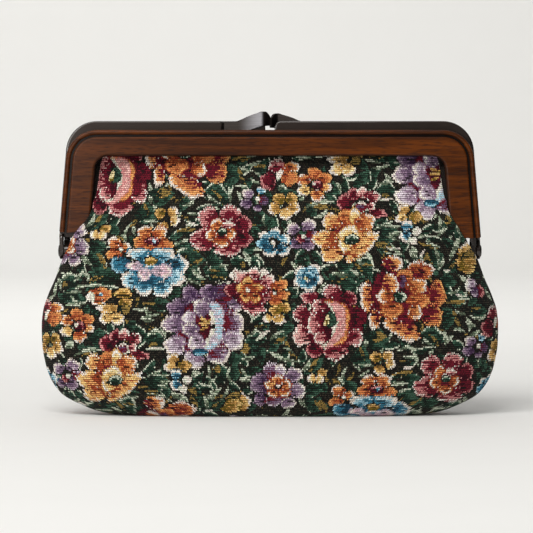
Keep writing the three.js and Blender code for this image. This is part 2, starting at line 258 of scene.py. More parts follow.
FLECK_YARNS = ("ground", "pepper", "green_deep")
FLECK_LEVELS = (0.5, 0.85)
YARN_VARIATION = 0.4  # lightest to darkest stitch of one yarn, as a share of its colour
YARNS = {
    "ground": "#171412",
    "pepper": "#332f26",
    "green_deep": "#152019",
    "green": "#213a2d",
    "green_mid": "#3e5d4c",
    "moss": "#5b6754",
    "sage": "#8fa085",
    "pale_sage": "#cdd3be",
    "olive": "#6f5a1d",
    "gold_thread": "#8f763f",
    "wine_deep": "#3d0a18",
    "wine": "#651524",
    "pink": "#ca8583",
    "pale_pink": "#e3b1a8",
    "rust": "#8e3f24",
    "orange": "#ca7a47",
    "light_orange": "#e2a263",
    "ochre": "#987038",
    "gold": "#ca9c5b",
    "yellow": "#e8c07c",
    "pale_yellow": "#efd9a8",
    "plum": "#412b49",
    "violet": "#6a546d",
    "mauve": "#8b7288",
    "lilac": "#b3a3b0",
    "pale_lilac": "#dbcfd8",
    "navy": "#1c4357",
    "blue": "#35738c",
    "light_blue": "#99c2d1",
    "pale_blue": "#bfdbe5",
    "blush": "#d9b4bd",
    "cream": "#ecdfd3",
}
YARN_NAMES = list(YARNS)
GROUND = YARN_NAMES.index("ground")

# Petal and leaf finishes: the yarn in the shaded part, the middle, the lit part and the rim, then the
# rim's width in steps and how far the lit part reaches in, as a share of the shape's smaller half size

SHADINGS = {
    "rose": ("wine", "wine", "pink", "cream", 1.3, 0.65),
    "wine": ("wine_deep", "wine", "wine", "pink", 1.7, 0.3),
    "burgundy": ("wine_deep", "wine", "wine", "wine", 0.0, 0.3),
    "pink": ("wine", "pink", "pale_pink", "cream", 2.2, 0.5),
    "salmon": ("pink", "pink", "pale_pink", "pale_pink", 0.0, 0.2),
    "blossom": ("wine", "pink", "pink", "cream", 1.5, 0.5),
    "orange": ("rust", "orange", "light_orange", "cream", 2.0, 0.4),
    "fire": ("rust", "orange", "orange", "light_orange", 1.3, 0.4),
    "peony": ("wine", "rust", "orange", "cream", 1.8, 0.45),
    "ember": ("wine", "wine", "orange", "light_orange", 1.5, 0.55),
    "glow": ("wine", "orange", "light_orange", "cream", 2.4, 0.45),
    "amber": ("rust", "orange", "gold", "yellow", 1.2, 0.5),
    "gold": ("olive", "ochre", "gold", "yellow", 1.2, 0.4),
    "yellow": ("ochre", "gold", "yellow", "cream", 2.0, 0.4),
    "butter": ("gold", "yellow", "pale_yellow", "cream", 2.4, 0.4),
    "sun": ("rust", "light_orange", "yellow", "cream", 1.4, 0.4),
    "violet": ("plum", "violet", "mauve", "lilac", 1.2, 0.4),
    "lilac": ("violet", "mauve", "lilac", "cream", 2.0, 0.45),
    "frost": ("mauve", "lilac", "pale_lilac", "cream", 2.4, 0.5),
    "mauve": ("wine", "violet", "mauve", "pale_lilac", 1.5, 0.4),
    "plum": ("wine", "plum", "violet", "violet", 0.0, 0.4),
    "dusk": ("wine", "violet", "lilac", "cream", 2.4, 0.45),
    "ice": ("lilac", "pale_lilac", "light_blue", "light_blue", 0.0, 0.2),
    "blue": ("navy", "blue", "light_blue", "cream", 3.2, 0.4),
    "deep_blue": ("navy", "blue", "blue", "light_blue", 2.0, 0.4),
    "sky": ("blue", "light_blue", "pale_blue", "cream", 2.6, 0.45),
    "blush": ("lilac", "blush", "blush", "cream", 2.0, 0.5),
    "cream": ("pale_sage", "cream", "cream", "cream", 0.0, 0.5),
    "green": ("green_deep", "green", "green_mid", "green_mid", 0.0, 0.3),
    "sage": ("moss", "sage", "pale_sage", "pale_sage", 0.0, 0.8),
    "thread": ("green_deep", "gold_thread", "gold_thread", "gold", 0.0, 0.5),
    "outline": ("green_deep", "green", "green_mid", "pale_sage", 2.0, 0.2),
    "lime": ("olive", "pale_yellow", "pale_yellow", "pale_yellow", 0.0, 0.5),
    "dark": ("ground", "ground", "ground", "ground", 0.0, 0.0),
}

# Blooms: place, then petals as (x, y, half width, half height, turn in degrees, shading, lit side as an
# hour of the clock or 0 for outwards from the bloom's middle)

BLOOMS = {
    "crescent_rose": ((58, 55.5), (
        (3, 1, 30, 27, 0, "burgundy", 3),
        (-19, -26, 9, 7.5, 0, "rose", 10),
        (4, -31.5, 10, 7, 0, "rose", 11),
        (21, -24, 7.5, 7.5, 0, "wine", 2),
        (-27, -9, 8.5, 9, 0, "rose", 9),
        (-26, 12.5, 10, 10.5, 0, "pink", 8),
        (-13.5, 27, 8.5, 7.5, 0, "wine", 7),
        (7, 29, 12, 8.5, 0, "rose", 6),
        (26.5, 14.5, 8.5, 9.5, 0, "rose", 4),
        (30.5, -6.5, 8, 9.5, 0, "burgundy", 3),
        (1.8, 0, 20, 22.5, 0, "fire", 3),
        (-2, 0, 19.5, 22, 0, "salmon", 3),
        (-6.5, 0, 13.5, 20.5, 0, "cream", 3),
        (-9, 0, 13.5, 19.5, 0, "burgundy", 9),
        (-10, -16.5, 6.5, 7, 0, "blossom", 10),
        (-15, 0.5, 6, 10.5, 0, "blossom", 9),
        (-8.5, 14.5, 6, 6.5, 0, "blossom", 8),
        (2.5, -3.5, 5, 7, 0, "green", 3),
        (-1.5, -2.5, 2.5, 5.5, 15, "lime", 12),
    )),
    "peony": ((132, 30.5), (
        (2, -1, 30, 27, 0, "burgundy", 3),
        (-9, -34.5, 10.5, 8, 0, "glow", 2),
        (18.5, -27, 13.5, 10, 0, "peony", 1),
        (35.5, -3, 9, 13.5, 0, "ember", 3),
        (30, 18.5, 11.5, 10.5, 0, "ember", 4),
        (0.5, 31.5, 20, 9.5, 28, "glow", 7),
        (-27.5, 21, 5.8, 11.5, 0, "glow", 8),
        (-34.6, -1.5, 8, 15, 0, "glow", 9),
        (-23, -10.5, 6, 16.5, 12, "burgundy", 9),
        (3, -20.5, 8, 8, 0, "fire", 12),
        (0, -16, 5, 6, 0, "plum", 3),
        (-11.6, -14, 8.5, 10, 0, "glow", 2),
        (-17, -1.5, 8, 6.5, 0, "orange", 9),
        (15.7, -11.5, 10, 7.5, 0, "orange", 2),
        (17, 3.5, 10.5, 6.5, 0, "fire", 4),
        (13, 14.5, 7, 7.5, 0, "orange", 4),
        (-10, 12, 11, 7.5, 0, "fire", 6),
        (-1.5, -0.8, 6, 4.8, 0, "outline", 3),
    )),
    "wine_bloom": ((-47.4, -36.9), (
        (0, 1, 20, 16, 0, "wine", 0),
        (-15, -13, 10, 10.5, 0, "rose", 10),
        (7, -17.5, 10.5, 8, 0, "rose", 12),
        (20.5, -6, 9, 8, 0, "wine", 2),
        (21.5, 8.5, 8.5, 8, 0, "wine", 4),
        (5, 18, 12.5, 8, 0, "rose", 6),
        (-20, 9, 12, 11, 0, "rose", 9),
        (5, -5.5, 6.5, 3.5, 0, "pink", 12),
        (-6, -6.5, 5.5, 5.5, 0, "orange", 11),
        (-10, 4.5, 5.5, 6, 0, "orange", 9),
        (0, 12.5, 6, 4, 0, "orange", 6),
        (9, 3.5, 5, 5, 0, "orange", 4),
        (0.5, 1, 4, 3, 0, "outline", 12),
    )),
    "small_purple": ((-13, -68), (
        (-9.5, -5.5, 6, 5, 0, "lilac", 0),
        (4, -9.5, 4.5, 4, 0, "sky", 0),
        (-11.5, 4.5, 6, 4.5, 0, "violet", 0),
        (6, 1, 5, 4.5, 0, "plum", 0),
        (0, 8.5, 4, 3, 0, "violet", 0),
        (0, -0.5, 2.5, 2.5, 0, "cream", 0),
    )),
    "gold_cluster": ((112, 94.5), (
        (-6, -4.5, 5.5, 5, 0, "gold", 0),
        (6.6, -6, 5.5, 5, 0, "yellow", 0),
        (9, 3, 5, 5, 0, "butter", 0),
        (-2.5, 9, 5.5, 5, 0, "yellow", 0),
    )),
    "gold_stars": ((46, 110.5), (
        (6, -5, 5, 4, 0, "gold", 0),
        (-4.5, 1, 4.5, 4.5, 0, "butter", 0),
        (3.5, 1.5, 4.5, 4.5, 0, "butter", 0),
    )),
    "pansy": ((-116.2, -26), (
        (-9, -8.5, 7.5, 7, 0, "orange", 0),
        (6, -8.5, 7.5, 7, 0, "orange", 0),
        (-13.3, 2, 7.5, 6, 0, "fire", 0),
        (12, 3.5, 8, 5, 0, "fire", 0),
        (-1, 6, 10, 5.5, 0, "fire", 6),
        (-1, 0, 6, 3.5, 0, "wine", 12),
        (0.5, -0.5, 2, 2, 0, "sky", 12),
    )),
    "small_orange": ((-151, -18), (
        (-5, -6.6, 6.5, 6, 0, "orange", 0),
        (6, -1.6, 5.5, 5, 0, "orange", 0),
        (-7, 5, 8, 4.5, 0, "fire", 0),
        (1, 0, 2.2, 2, 0, "cream", 12),
    )),
    "blue_bloom": ((-122, 1.5), (
        (2, 5, 25, 15, 0, "deep_blue", 6),
        (-29, -3.8, 10.5, 8, 0, "deep_blue", 8),
        (30, -3.5, 9, 10.5, 0, "blue", 3),
        (25, 9, 11.5, 8, 0, "sky", 4),
        (-10.5, -15, 11.5, 5.5, 0, "sky", 11),
        (14.4, -14.5, 12, 6, 0, "sky", 1),
        (-19.4, 11.5, 9, 8.5, 0, "sky", 9),
        (-5.4, 18, 9.5, 8.5, 0, "blue", 6),
        (13, 20, 9.5, 8, 0, "blue", 5),
        (2, -1.5, 7, 3.2, 0, "sky", 12),
        (-15, -3, 6.5, 3.6, 0, "blush", 9),
        (-5, 5, 6, 5.5, 0, "blush", 7),
        (13.5, 2, 9, 5.8, 0, "blush", 4),
        (1.7, -8, 5, 3.4, 0, "gold", 12),
    )),
    "orange_band": ((-171, 27.5), (
        (0, -0.5, 12.5, 6, 0, "fire", 3),
        (-3, 7, 7, 4, 0, "orange", 6),
        (-11, 3, 4, 4, 0, "cream", 9),
        (0, 0, 1.8, 1.8, 0, "sky", 12),
    )),
    "gold_spray": ((-160, 44.5), (
        (11.6, -18, 9, 5, 0, "gold", 12),
        (14, -9, 7, 5, 0, "gold", 3),
        (-4, -3, 11, 4.5, 0, "yellow", 9),
        (13, -2, 6, 4, 0, "thread", 3),
        (-6, 7, 7, 5.5, 0, "butter", 8),
        (6, 7, 7, 6, 0, "butter", 5),
    )),
    "five_petals": ((45, -84.5), (
        (-0.6, -9.6, 6.5, 6, 0, "fire", 0),
        (-11.4, -3, 7.5, 5.5, 0, "orange", 0),
        (10, -4.6, 7.5, 5.5, 0, "fire", 0),
        (2.3, 12.8, 6.5, 6, 0, "orange", 0),
        (11, 4.5, 6.5, 4, 0, "sun", 0),
        (-11.4, 7.8, 6.5, 5, 0, "butter", 0),
        (2, 2, 5, 4, 0, "wine", 12),
        (-1, 1, 2, 2, 0, "cream", 12),
    )),
    "yellow_cluster": ((15, -61.5), (
        (-6.2, -7, 6, 5.5, 0, "gold", 0),
        (6.2, -7, 6, 5.5, 0, "gold", 0),
        (-11.2, 3, 6, 6, 0, "yellow", 0),
        (8.7, 2, 6, 6, 0, "yellow", 0),
        (0.4, 8, 6, 6, 0, "butter", 0),
    )),
    "purple_five": ((35, -31), (
        (-11, -7.5, 6.5, 5.5, 0, "lilac", 0),
        (4.5, -11.5, 7.5, 6, 0, "lilac", 0),
        (10, -1, 7, 5, 0, "mauve", 0),
        (-8.4, 7, 6.5, 5, 0, "violet", 0),
        (4, 8, 6, 6, 0, "violet", 0),
        (-3, 2, 4, 4, 0, "wine", 0),
        (0, 0, 2.2, 2.2, 0, "cream", 0),
    )),
    "blue_small": ((4, -24.5), (
        (2, -10, 6, 5, 0, "sky", 0),
        (12, -4, 6, 5, 0, "sky", 0),
        (-8, -6.6, 6, 5, 0, "sky", 0),
        (-10, 1, 7, 5, 0, "deep_blue", 0),
        (-4, 8, 7, 5.5, 0, "blue", 6),
        (9, 7, 7, 6, 0, "blue", 5),
        (0, 0, 2.5, 2.5, 0, "cream", 0),
    )),
    "wine_spray": ((92, -62.5), (
        (-15, -2, 9, 10, 0, "wine", 0),
        (-8, -10.6, 6, 6, 0, "wine", 0),
        (16, 8.6, 10, 4.5, 0, "wine", 0),
        (1, -12, 6, 6, 0, "pink", 0),
        (11.8, -8, 7, 6, 0, "rose", 0),
        (-4, 10, 9, 5, 0, "wine", 6),
        (0.7, 2, 8, 5, 0, "cream", 12),
        (-1, 3, 4, 3, 0, "plum", 12),
        (10, 1, 4, 4, 0, "pink", 3),
    )),
    "sun_bloom": ((83, -30), (
        (0, 0, 20, 17, 0, "peony", 0),
        (-20.7, -15.8, 9.5, 8.5, 0, "sun", 10),
        (-7, -21, 7, 6.5, 0, "fire", 12),
        (2.1, -22, 4.5, 7, 0, "butter", 12),
        (13.5, -15, 9.5, 8.5, 0, "orange", 2),
        (-26, 2, 12.5, 9.5, 0, "sun", 9),
        (-21, 16.6, 12, 8.5, 0, "sun", 7),
        (9, 8.3, 22, 8.5, -40, "sun", 4),
        (-2, -3, 9.5, 8, 0, "butter", 12),
        (-8, 7, 5, 6, 0, "butter", 8),
        (0.5, 2, 6.5, 4.5, -10, "outline", 12),
    )),
    "purple_bloom": ((-67, 59.5), (
        (0, -2, 31, 30, 0, "plum", 3),
        (-14, -33, 7.5, 9, 0, "violet", 9),
        (20, -32, 10, 11.5, 0, "plum", 12),
        (4.7, -35, 8, 8, 0, "violet", 10),
        (-25.3, -19.6, 11, 9, 0, "violet", 10),
        (33.4, -22, 8.5, 6.5, -15, "lilac", 5),
        (-31.6, -3, 11, 8.5, 0, "lilac", 9),
        (29.6, -4.3, 10.5, 12, 0, "dusk", 3),
        (29.6, 13.5, 10.5, 10, 0, "frost", 4),
        (-29, 18.6, 11, 10, 0, "frost", 8),
        (14.3, 27.5, 12, 9.5, 0, "dusk", 5),
        (-10, 32.5, 10.5, 10, 0, "frost", 7),
        (1.5, -2, 18.5, 24.5, 0, "ice", 3),
        (-4, -2, 14, 23, 0, "cream", 3),
        (-7, -2, 13, 21.5, 0, "burgundy", 9),
        (-2.3, -19.6, 8, 8.5, 0, "lilac", 10),
        (-15, -9, 6.5, 6.5, 0, "frost", 9),
        (-13.8, 2.5, 8, 6, 0, "lilac", 9),
        (-7.4, 15.5, 8, 8, 0, "frost", 8),
        (-0.5, -8, 3.6, 1.5, 20, "yellow", 12),
        (1, -3.8, 5.5, 1.6, -5, "yellow", 12),
        (0.5, 1, 4.5, 1.5, -25, "gold", 12),
        (5.5, -6.5, 3, 1.3, -30, "gold", 12),
        (9.5, -1, 2.6, 2.2, 0, "dark", 9),
        (-3.6, 25.6, 6, 3, 0, "deep_blue", 6),
    )),
    "gold_three": ((-96, 96.5), (
        (-2.4, -5, 6, 5, 0, "yellow", 0),
        (-5, 3.5, 6, 5, 0, "butter", 0),
        (9, 2.6, 6.5, 5.5, 0, "gold", 0),
    )),
    "blue_pair": ((-92, 114.5), (
        (-3, -7, 5.5, 5.5, 0, "blue", 12),
        (-3, 4, 6, 5.5, 0, "blue", 8),
        (8, -1.5, 4.5, 4, 0, "cream", 3),
        (4.5, 8, 4, 4, 0, "cream", 4),
    )),
    "rose_cluster": ((-21, 21.5), (
        (1, 1, 19, 17, 0, "wine", 0),
        (-14.4, -14, 5, 6, 0, "cream", 11),
        (14, -15, 5, 5, 0, "cream", 1),
        (-8, -12.5, 7, 6, 0, "pink", 11),
        (4.7, -15.5, 5.5, 6.5, 0, "pink", 12),
        (19, -7, 8, 7, 0, "pink", 2),
        (-18, 1, 7, 6, 0, "wine", 9),
        (19, 7, 7, 5, 0, "rose", 4),
        (5, 19, 11, 7, 0, "rose", 6),
        (-2, -6.5, 5, 5, 0, "amber", 0),
        (-8, -1, 5, 4, 0, "amber", 0),
        (7, -1.5, 6, 3.5, 0, "amber", 0),
        (5.5, 9, 5, 4.5, 0, "amber", 0),
        (-4, 8, 4.5, 4.5, 0, "amber", 0),
        (-2, 1, 2.2, 2.2, 0, "cream", 12),
    )),
    "orange_stack": ((9, 25.5), (
        (1, -8, 8, 5, -15, "fire", 2),
        (2, 2, 8.5, 4.5, 0, "fire", 4),
        (-3, 10, 6.5, 4.5, 10, "fire", 6),
        (-4.5, 0, 2, 1.8, 0, "cream", 9),
    )),
    "wine_orange": ((9, -90.5), (
        (-2, -11, 9.5, 7, 0, "rose", 0),
        (-11, 4, 8, 9, 0, "wine", 0),
        (13, -10, 8, 5, 0, "orange", 0),
        (10, 1, 9, 7, 0, "fire", 0),
        (0, -2, 2.5, 6, 20, "cream", 12),
    )),
    "blue_eye": ((37.5, 10), (
        (0, 0, 11, 10, 0, "cream", 0),
        (-7, -6, 6, 5, 0, "sky", 0),
        (6, -8, 6.5, 5, 0, "sky", 0),
        (9, 2, 6, 5, 0, "blue", 0),
        (1, 9, 7, 5, 0, "blue", 0),
        (-9, 4, 5.5, 5, 0, "sky", 0),
        (1, -2, 5, 3.5, 0, "deep_blue", 0),
        (-2, 1, 1.8, 1.8, 0, "lime", 0),
    )),
    "gold_four": ((6, 46), (
        (-1, -3, 6, 5, 0, "gold", 0),
        (8, -6, 6, 5, 0, "gold", 0),
        (3, 6, 6, 5, 0, "yellow", 0),
        (-9, 5, 5, 4, 0, "butter", 0),
    )),
    "purple_ring": ((7.7, 120.5), (
        (0, 0, 16, 14, 0, "plum", 0),
        (-7.7, -17.5, 7, 8, 0, "mauve", 11),
        (-18.7, -4, 9, 10, 0, "violet", 9),
        (-18, 13, 6.5, 7, 0, "violet", 8),
        (-5, 15, 8, 5.5, 0, "mauve", 6),
        (2.5, -17, 5.5, 6.5, 0, "frost", 1),
        (16, -13, 9, 7, 0, "lilac", 2),
        (19, 3.5, 8.5, 8, 0, "lilac", 3),
        (10.3, 17, 7.5, 6, 0, "lilac", 5),
        (0, -8.5, 5, 4.5, 0, "orange", 12),
        (-8, -2.5, 5, 4.5, 0, "sun", 9),
        (-5, 6.5, 5.5, 4, 0, "orange", 7),
        (6, 6, 5.5, 4, 0, "orange", 5),
        (8, -3, 5, 4.5, 0, "orange", 2),
        (0.5, -0.5, 4, 2.5, 0, "dark", 12),
        (0, -1.5, 2.5, 1.2, 0, "cream", 12),
    )),
    "yellow_bell": ((-32, 136.5), (
        (0, 0, 12, 11, -20, "yellow", 1),
        (-6, 6, 8, 6, -25, "gold", 7),
    )),
    "edge_purple": ((206, 21.5), (
        (-3, -3, 6.5, 6.5, 0, "frost", 9),
        (7, 4, 5.5, 6, 0, "wine", 3),
        (1, 5, 3.5, 4, 0, "violet", 6),
    )),
    "gold_sheaf": ((200, -3.5), (
        (2, -8, 8, 4, -25, "thread", 1),
        (2, 0, 9, 4.5, -10, "gold", 2),
        (0, 6, 9, 4, 0, "gold", 4),
    )),
}

# Leaves and stalks: (x, y, half length, half width, turn in degrees, shading, lit side as an hour of the
# clock or 0 for the upper long side)

LEAVES = (
    (-182, -10, 12, 7, 60, "green", 3), (-187, -9, 10, 2.2, 58, "sage", 3),
    (-171, -8, 9.5, 2.6, 58, "thread", 3), (-165, 8, 18, 9, 0, "green", 12),
    (-177, 12.5, 11, 2.2, -26, "thread", 12), (-176, 20, 18, 1.6, 2, "sage", 12),
    (-203, 14, 13, 9, 0, "outline", 0), (-207, 9, 8, 1.5, -45, "sage", 12),
    (-194, 10, 8, 1.5, -50, "sage", 12), (-209, 19, 5, 3, 60, "thread", 12),
    (-200, 30, 13, 8, 10, "green", 3), (-200, 25.5, 11, 1.5, -4, "sage", 12),
    (-196, 34, 9, 1.5, 32, "sage", 12), (-199, 39, 10, 1.6, 5, "sage", 12),
    (-110, 36.5, 14, 7, 0, "green", 3), (-125, 37, 11, 2.6, -4, "thread", 12),
    (-129, 43, 10, 1.6, 10, "sage", 12), (-121, 48.5, 10, 1.8, -12, "sage", 12),
    (-140, 58, 7, 5, -40, "green", 3), (-88, -18, 12, 8, -10, "green", 3),
    (-92, -23, 9, 1.5, -28, "sage", 12), (-93, -15, 6, 2.5, -30, "thread", 12),
    (-78, -11, 10, 2.4, -36, "thread", 12), (-59, -14, 8, 6, 0, "green", 3),
    (-79, 7, 14, 8, 42, "outline", 0), (-73, 6, 12, 2.2, 42, "sage", 3),
    (-80, 12.5, 12, 1.5, 22, "sage", 12), (-53, 5, 13, 10, 10, "outline", 0),
    (-52, -3, 11, 1.9, 10, "sage", 12), (-55, 3, 8, 1.6, 5, "thread", 12),
    (-52, 9.5, 9, 1.8, 6, "thread", 12), (-44, 15, 11, 1.8, -4, "cream", 12),
    (-33, -6, 8, 8, 0, "outline", 0), (-28, -3, 4, 2.4, 60, "thread", 3),
    (-24, -10, 10, 2.2, 62, "sage", 3), (-15, -3, 8, 5, 70, "outline", 0),
    (-97, 24.5, 9, 9, 0, "green", 3), (-11, 50, 10, 5, -36, "outline", 0),
    (15, 60, 10, 7, 0, "green", 3), (20, 8, 12, 4.5, -28, "outline", 0),
    (23, 24, 6, 5, 50, "outline", 0), (29.5, -11, 10, 5, -62, "outline", 0),
    (47, -10, 10, 4.5, 56, "outline", 0), (55.5, 1, 8, 3.5, -30, "outline", 0),
    (74, 17, 15, 9, 0, "green", 3), (69, 6, 11, 1.8, 4, "sage", 12),
    (66, 12, 14, 1.8, -6, "thread", 12), (74, -3, 10, 7, 20, "green", 3),
    (94, 0, 13, 10, 40, "outline", 0), (91, -6, 12, 1.8, 42, "sage", 12),
    (89, 1, 10, 1.8, 50, "thread", 12), (97, -2, 7, 1.6, 0, "thread", 12),
    (113, -21, 8, 2, 4, "thread", 12), (124, -19, 8, 1.6, 6, "cream", 12),
    (124, -13, 10, 2.4, 8, "sage", 12), (120, -8, 10, 3, 55, "green", 3),
    (85, 6, 7, 1.6, 45, "sage", 12), (144, -13, 6, 3.2, 48, "sage", 12),
    (153, -12, 7, 1.5, -68, "cream", 12), (161, -20, 9, 2, 14, "thread", 12),
    (166, -4, 9, 11, 0, "green", 3), (161, -6, 7, 2.4, 88, "thread", 3),
    (172, -4, 9, 2.7, -70, "sage", 3), (185, -14, 10, 2.1, -58, "sage", 12),
    (186, -2, 13, 5.5, -32, "green", 3), (183, 0, 6, 1.6, -52, "thread", 12),
    (178, 15, 11, 6.5, 0, "green", 3), (178, 4, 4, 1.5, 0, "cream", 12),
    (188, 31, 12, 9, 10, "green", 3), (185, 25, 8, 1.6, -26, "sage", 12),
    (193, 29, 7, 1.5, 4, "cream", 12), (195, 33, 8, 1.5, -6, "sage", 12),
    (187, 35.5, 10, 2.6, -3, "thread", 12), (178, 51, 10, 11, 0, "green", 3),
    (187, 49, 7, 1.6, 54, "thread", 12), (189, 57, 7, 1.6, 56, "thread", 12),
    (192, 46, 8, 1.5, 18, "sage", 12), (211, 45, 10, 7, 0, "green", 3),
    (207, 43, 7, 2.4, -8, "thread", 12), (208, 51, 8, 1.5, 12, "sage", 12),
    (203, 58, 8, 1.5, 18, "sage", 12), (-218, 63, 11, 3.4, -26, "green", 3),
    (-222, 68, 5, 2, -60, "sage", 12), (-203, 78.5, 6, 4, -40, "sage", 12),
    (-173, 71, 11, 8, 0, "green", 3), (-164, 69, 7, 1.6, 70, "sage", 3),
    (-180, 81.5, 14, 3.6, 0, "green", 12), (-184, 85.5, 17, 2.1, -12, "sage", 12),
    (-180, 89.5, 13, 3, 2, "thread", 12), (-116, 71.5, 11, 9, 0, "outline", 0),
    (-117, 64, 9, 1.6, -6, "sage", 12), (-118, 78, 6, 2.4, -20, "thread", 12),
    (-117, 81, 9, 1.5, -4, "cream", 12), (-122, 100.5, 10, 4.5, -48, "outline", 0),
    (-115, 115, 13, 11, 0, "green", 3), (-116, 106, 9, 1.5, -26, "sage", 12),
    (-120, 125, 8, 2, 0, "thread", 12), (-108, 120, 8, 1.5, 20, "sage", 12),
    (-15, 71.5, 12, 8, -10, "outline", 0), (-19, 65.5, 8, 1.6, -38, "sage", 12),
    (-8, 68, 10, 2, -38, "cream", 12), (-26, 66, 6, 2.4, -30, "thread", 12),
    (8, 72, 10, 6, -20, "green", 3), (6, 67.5, 9, 1.8, -35, "sage", 12),
    (9, 72.5, 8, 2.4, -25, "thread", 12), (-26, 81, 5.5, 5.5, 0, "thread", 3),
    (-23, 91, 8, 2.2, -8, "sage", 12), (-36, 91, 8, 7, 0, "green", 3),
    (-50, 106, 8, 14, 0, "outline", 0), (-54, 102, 4.5, 4.5, 0, "thread", 3),
    (-62, 105, 9, 1.6, 86, "sage", 12), (-41, 108.5, 10, 1.8, 84, "sage", 12),
    (-59, 114, 8, 1.6, -40, "sage", 12), (-36, 106, 6, 9, 0, "green", 3),
    (-16, 103.5, 9, 5.5, 0, "green", 3), (-27, 105, 6, 1.6, 58, "sage", 12),
    (-24, 113, 9, 1.5, 0, "sage", 12), (7, 89, 11, 2.4, 30, "sage", 12),
    (-107, 108, 9, 1.5, 2, "sage", 12), (-105, 115, 8, 2.4, -6, "sage", 12),
    (-74, 111, 9, 4.5, -38, "outline", 0), (-67, 120.5, 10, 3.2, 10, "outline", 0),
    (-74, 127, 9, 1.8, 14, "thread", 12), (-66, 138, 8, 8, 0, "green", 3),
    (-65, 137, 9, 2.2, 80, "sage", 12), (-75, 141, 7, 2.2, 86, "thread", 12),
    (-46, 128, 10, 1.8, -60, "sage", 12), (-88, 133, 6, 3.2, 70, "sage", 12),
    (-106, 131, 9, 1.6, 44, "sage", 12), (18, 92, 14, 2.1, 14, "sage", 12),
    (19, 83, 8, 1.6, 34, "sage", 12), (23, 88, 8, 1.8, 36, "thread", 12),
    (43, 98, 13, 9, -40, "green", 3), (36, 98.5, 9, 2.4, -56, "sage", 12),
    (43, 98, 9, 2.2, -58, "thread", 12), (43, 123, 10, 7, 0, "green", 3),
    (42, 140, 11, 7, 40, "green", 3), (48, 140, 8, 2, 60, "thread", 12),
    (32, 137, 9, 1.6, 52, "sage", 12), (67, 116.5, 7, 3, 50, "thread", 12),
    (79.6, 120, 9, 8, 20, "green", 3), (74, 107, 9, 1.6, -72, "sage", 12),
    (71, 114, 6, 1.6, 50, "sage", 12), (91, 91, 11, 11, 0, "green", 3),
    (92, 86, 9, 1.8, 68, "thread", 12), (96, 98, 10, 1.5, 4, "sage", 12),
    (106, 72, 14, 10, 0, "green", 3), (109, 70, 8, 5, -10, "thread", 3),
    (96, 76, 4, 2.4, 80, "sage", 12), (127, 110, 11, 3.4, -18, "outline", 0),
    (128, 132, 12, 5, -42, "outline", 0), (129, 133, 7, 1.6, -42, "thread", 12),
    (162, 70, 14, 11, 10, "outline", 0), (165, 74, 10, 1.5, 55, "thread", 12),
    (176, 71, 9, 1.8, 84, "sage", 12), (158, 75, 8, 1.6, 38, "sage", 12),
    (135, 80, 9, 1.9, -30, "sage", 12), (154, 83, 13, 3.2, -12, "outline", 0),
    (140, 90, 8, 1.5, 0, "sage", 12), (135, 95, 7, 1.5, 10, "thread", 12),
    (139, 101, 7, 1.5, 0, "cream", 12), (133, 107, 11, 2.8, -8, "thread", 12),
    (142, 112, 9, 6, 0, "green", 3), (133, 118, 7, 1.6, -12, "sage", 12),
    (138, 136, 15, 9, 0, "green", 3), (141, 140, 11, 1.8, -30, "thread", 12),
    (129, 137, 8, 1.6, -50, "thread", 12), (161, 138, 9, 6, 0, "green", 3),
    (190, 64, 9, 1.6, 16, "sage", 12), (208, 95, 8, 8, 0, "green", 3),
    (211, 96, 7, 1.5, 86, "sage", 12), (218, 101, 5, 7, 0, "green", 3),
)

# Studio: lights as (name, size in m, place in m, turn in degrees), then the paper sweep in mm

LIGHTS = (
    ("key", 1.4, (-0.55, -1.15, 1.6), (84, 0, -15)),
    ("sheen", 0.4, (-0.55, -2.0, 0.3), (87, 0, -15)),
    ("backdrop", 1.6, (-0.35, 0.9, 1.5), (60, 0, 0)),
)
LAMP_COLOUR = "#fffdf9"
ROOM_COLOUR = "#f4f3f0"
ROOM_BRIGHT_WAY = (-0.45, 0.3, 0.9)  # the way to the brightest part of the room
ROOM_DARK_SHARE = 0.1  # strength of the room's darkest part, as a share of the brightest
CAMERA_SIDE = -2.1  # the camera's place along X
PAPER_FRONT = -2600.0
PAPER_BEND_START = 1900.0
PAPER_BEND = 500.0
PAPER_TOP = 2400.0
PAPER_HALF_WIDTH = 2600.0


class ClothSettings(bpy.types.PropertyGroup):
    """Cloth of the pouch."""

    wall: bpy.props.FloatProperty(
        name="Cloth thickness", description="Thickness of the backed tapestry",
        default=1.6 * MM, min=1.0 * MM, max=3.0 * MM, unit="LENGTH")
    relief: bpy.props.FloatProperty(
        name="Rib depth", description="Height of the weft ribs",
        default=0.28 * MM, min=0.0, max=1.0 * MM, unit="LENGTH")
    slack: bpy.props.FloatProperty(
        name="Slack", description="Depth of the soft waves in the hanging cloth",
        default=0.7 * MM, min=0.0, max=2.0 * MM, unit="LENGTH")


class FrameSettings(bpy.types.PropertyGroup):
    """Steel and wood of the snap frame."""

    edge_round: bpy.props.FloatProperty(
        name="Steel edge", description="Radius of the rail's outer edges",
        default=0.8 * MM, min=0.2 * MM, max=1.5 * MM, unit="LENGTH")
    wood_grain: bpy.props.FloatProperty(
        name="Grain width", description="Distance between the wood's darker bands",
        default=1.6 * MM, min=0.5 * MM, max=6.0 * MM, unit="LENGTH")


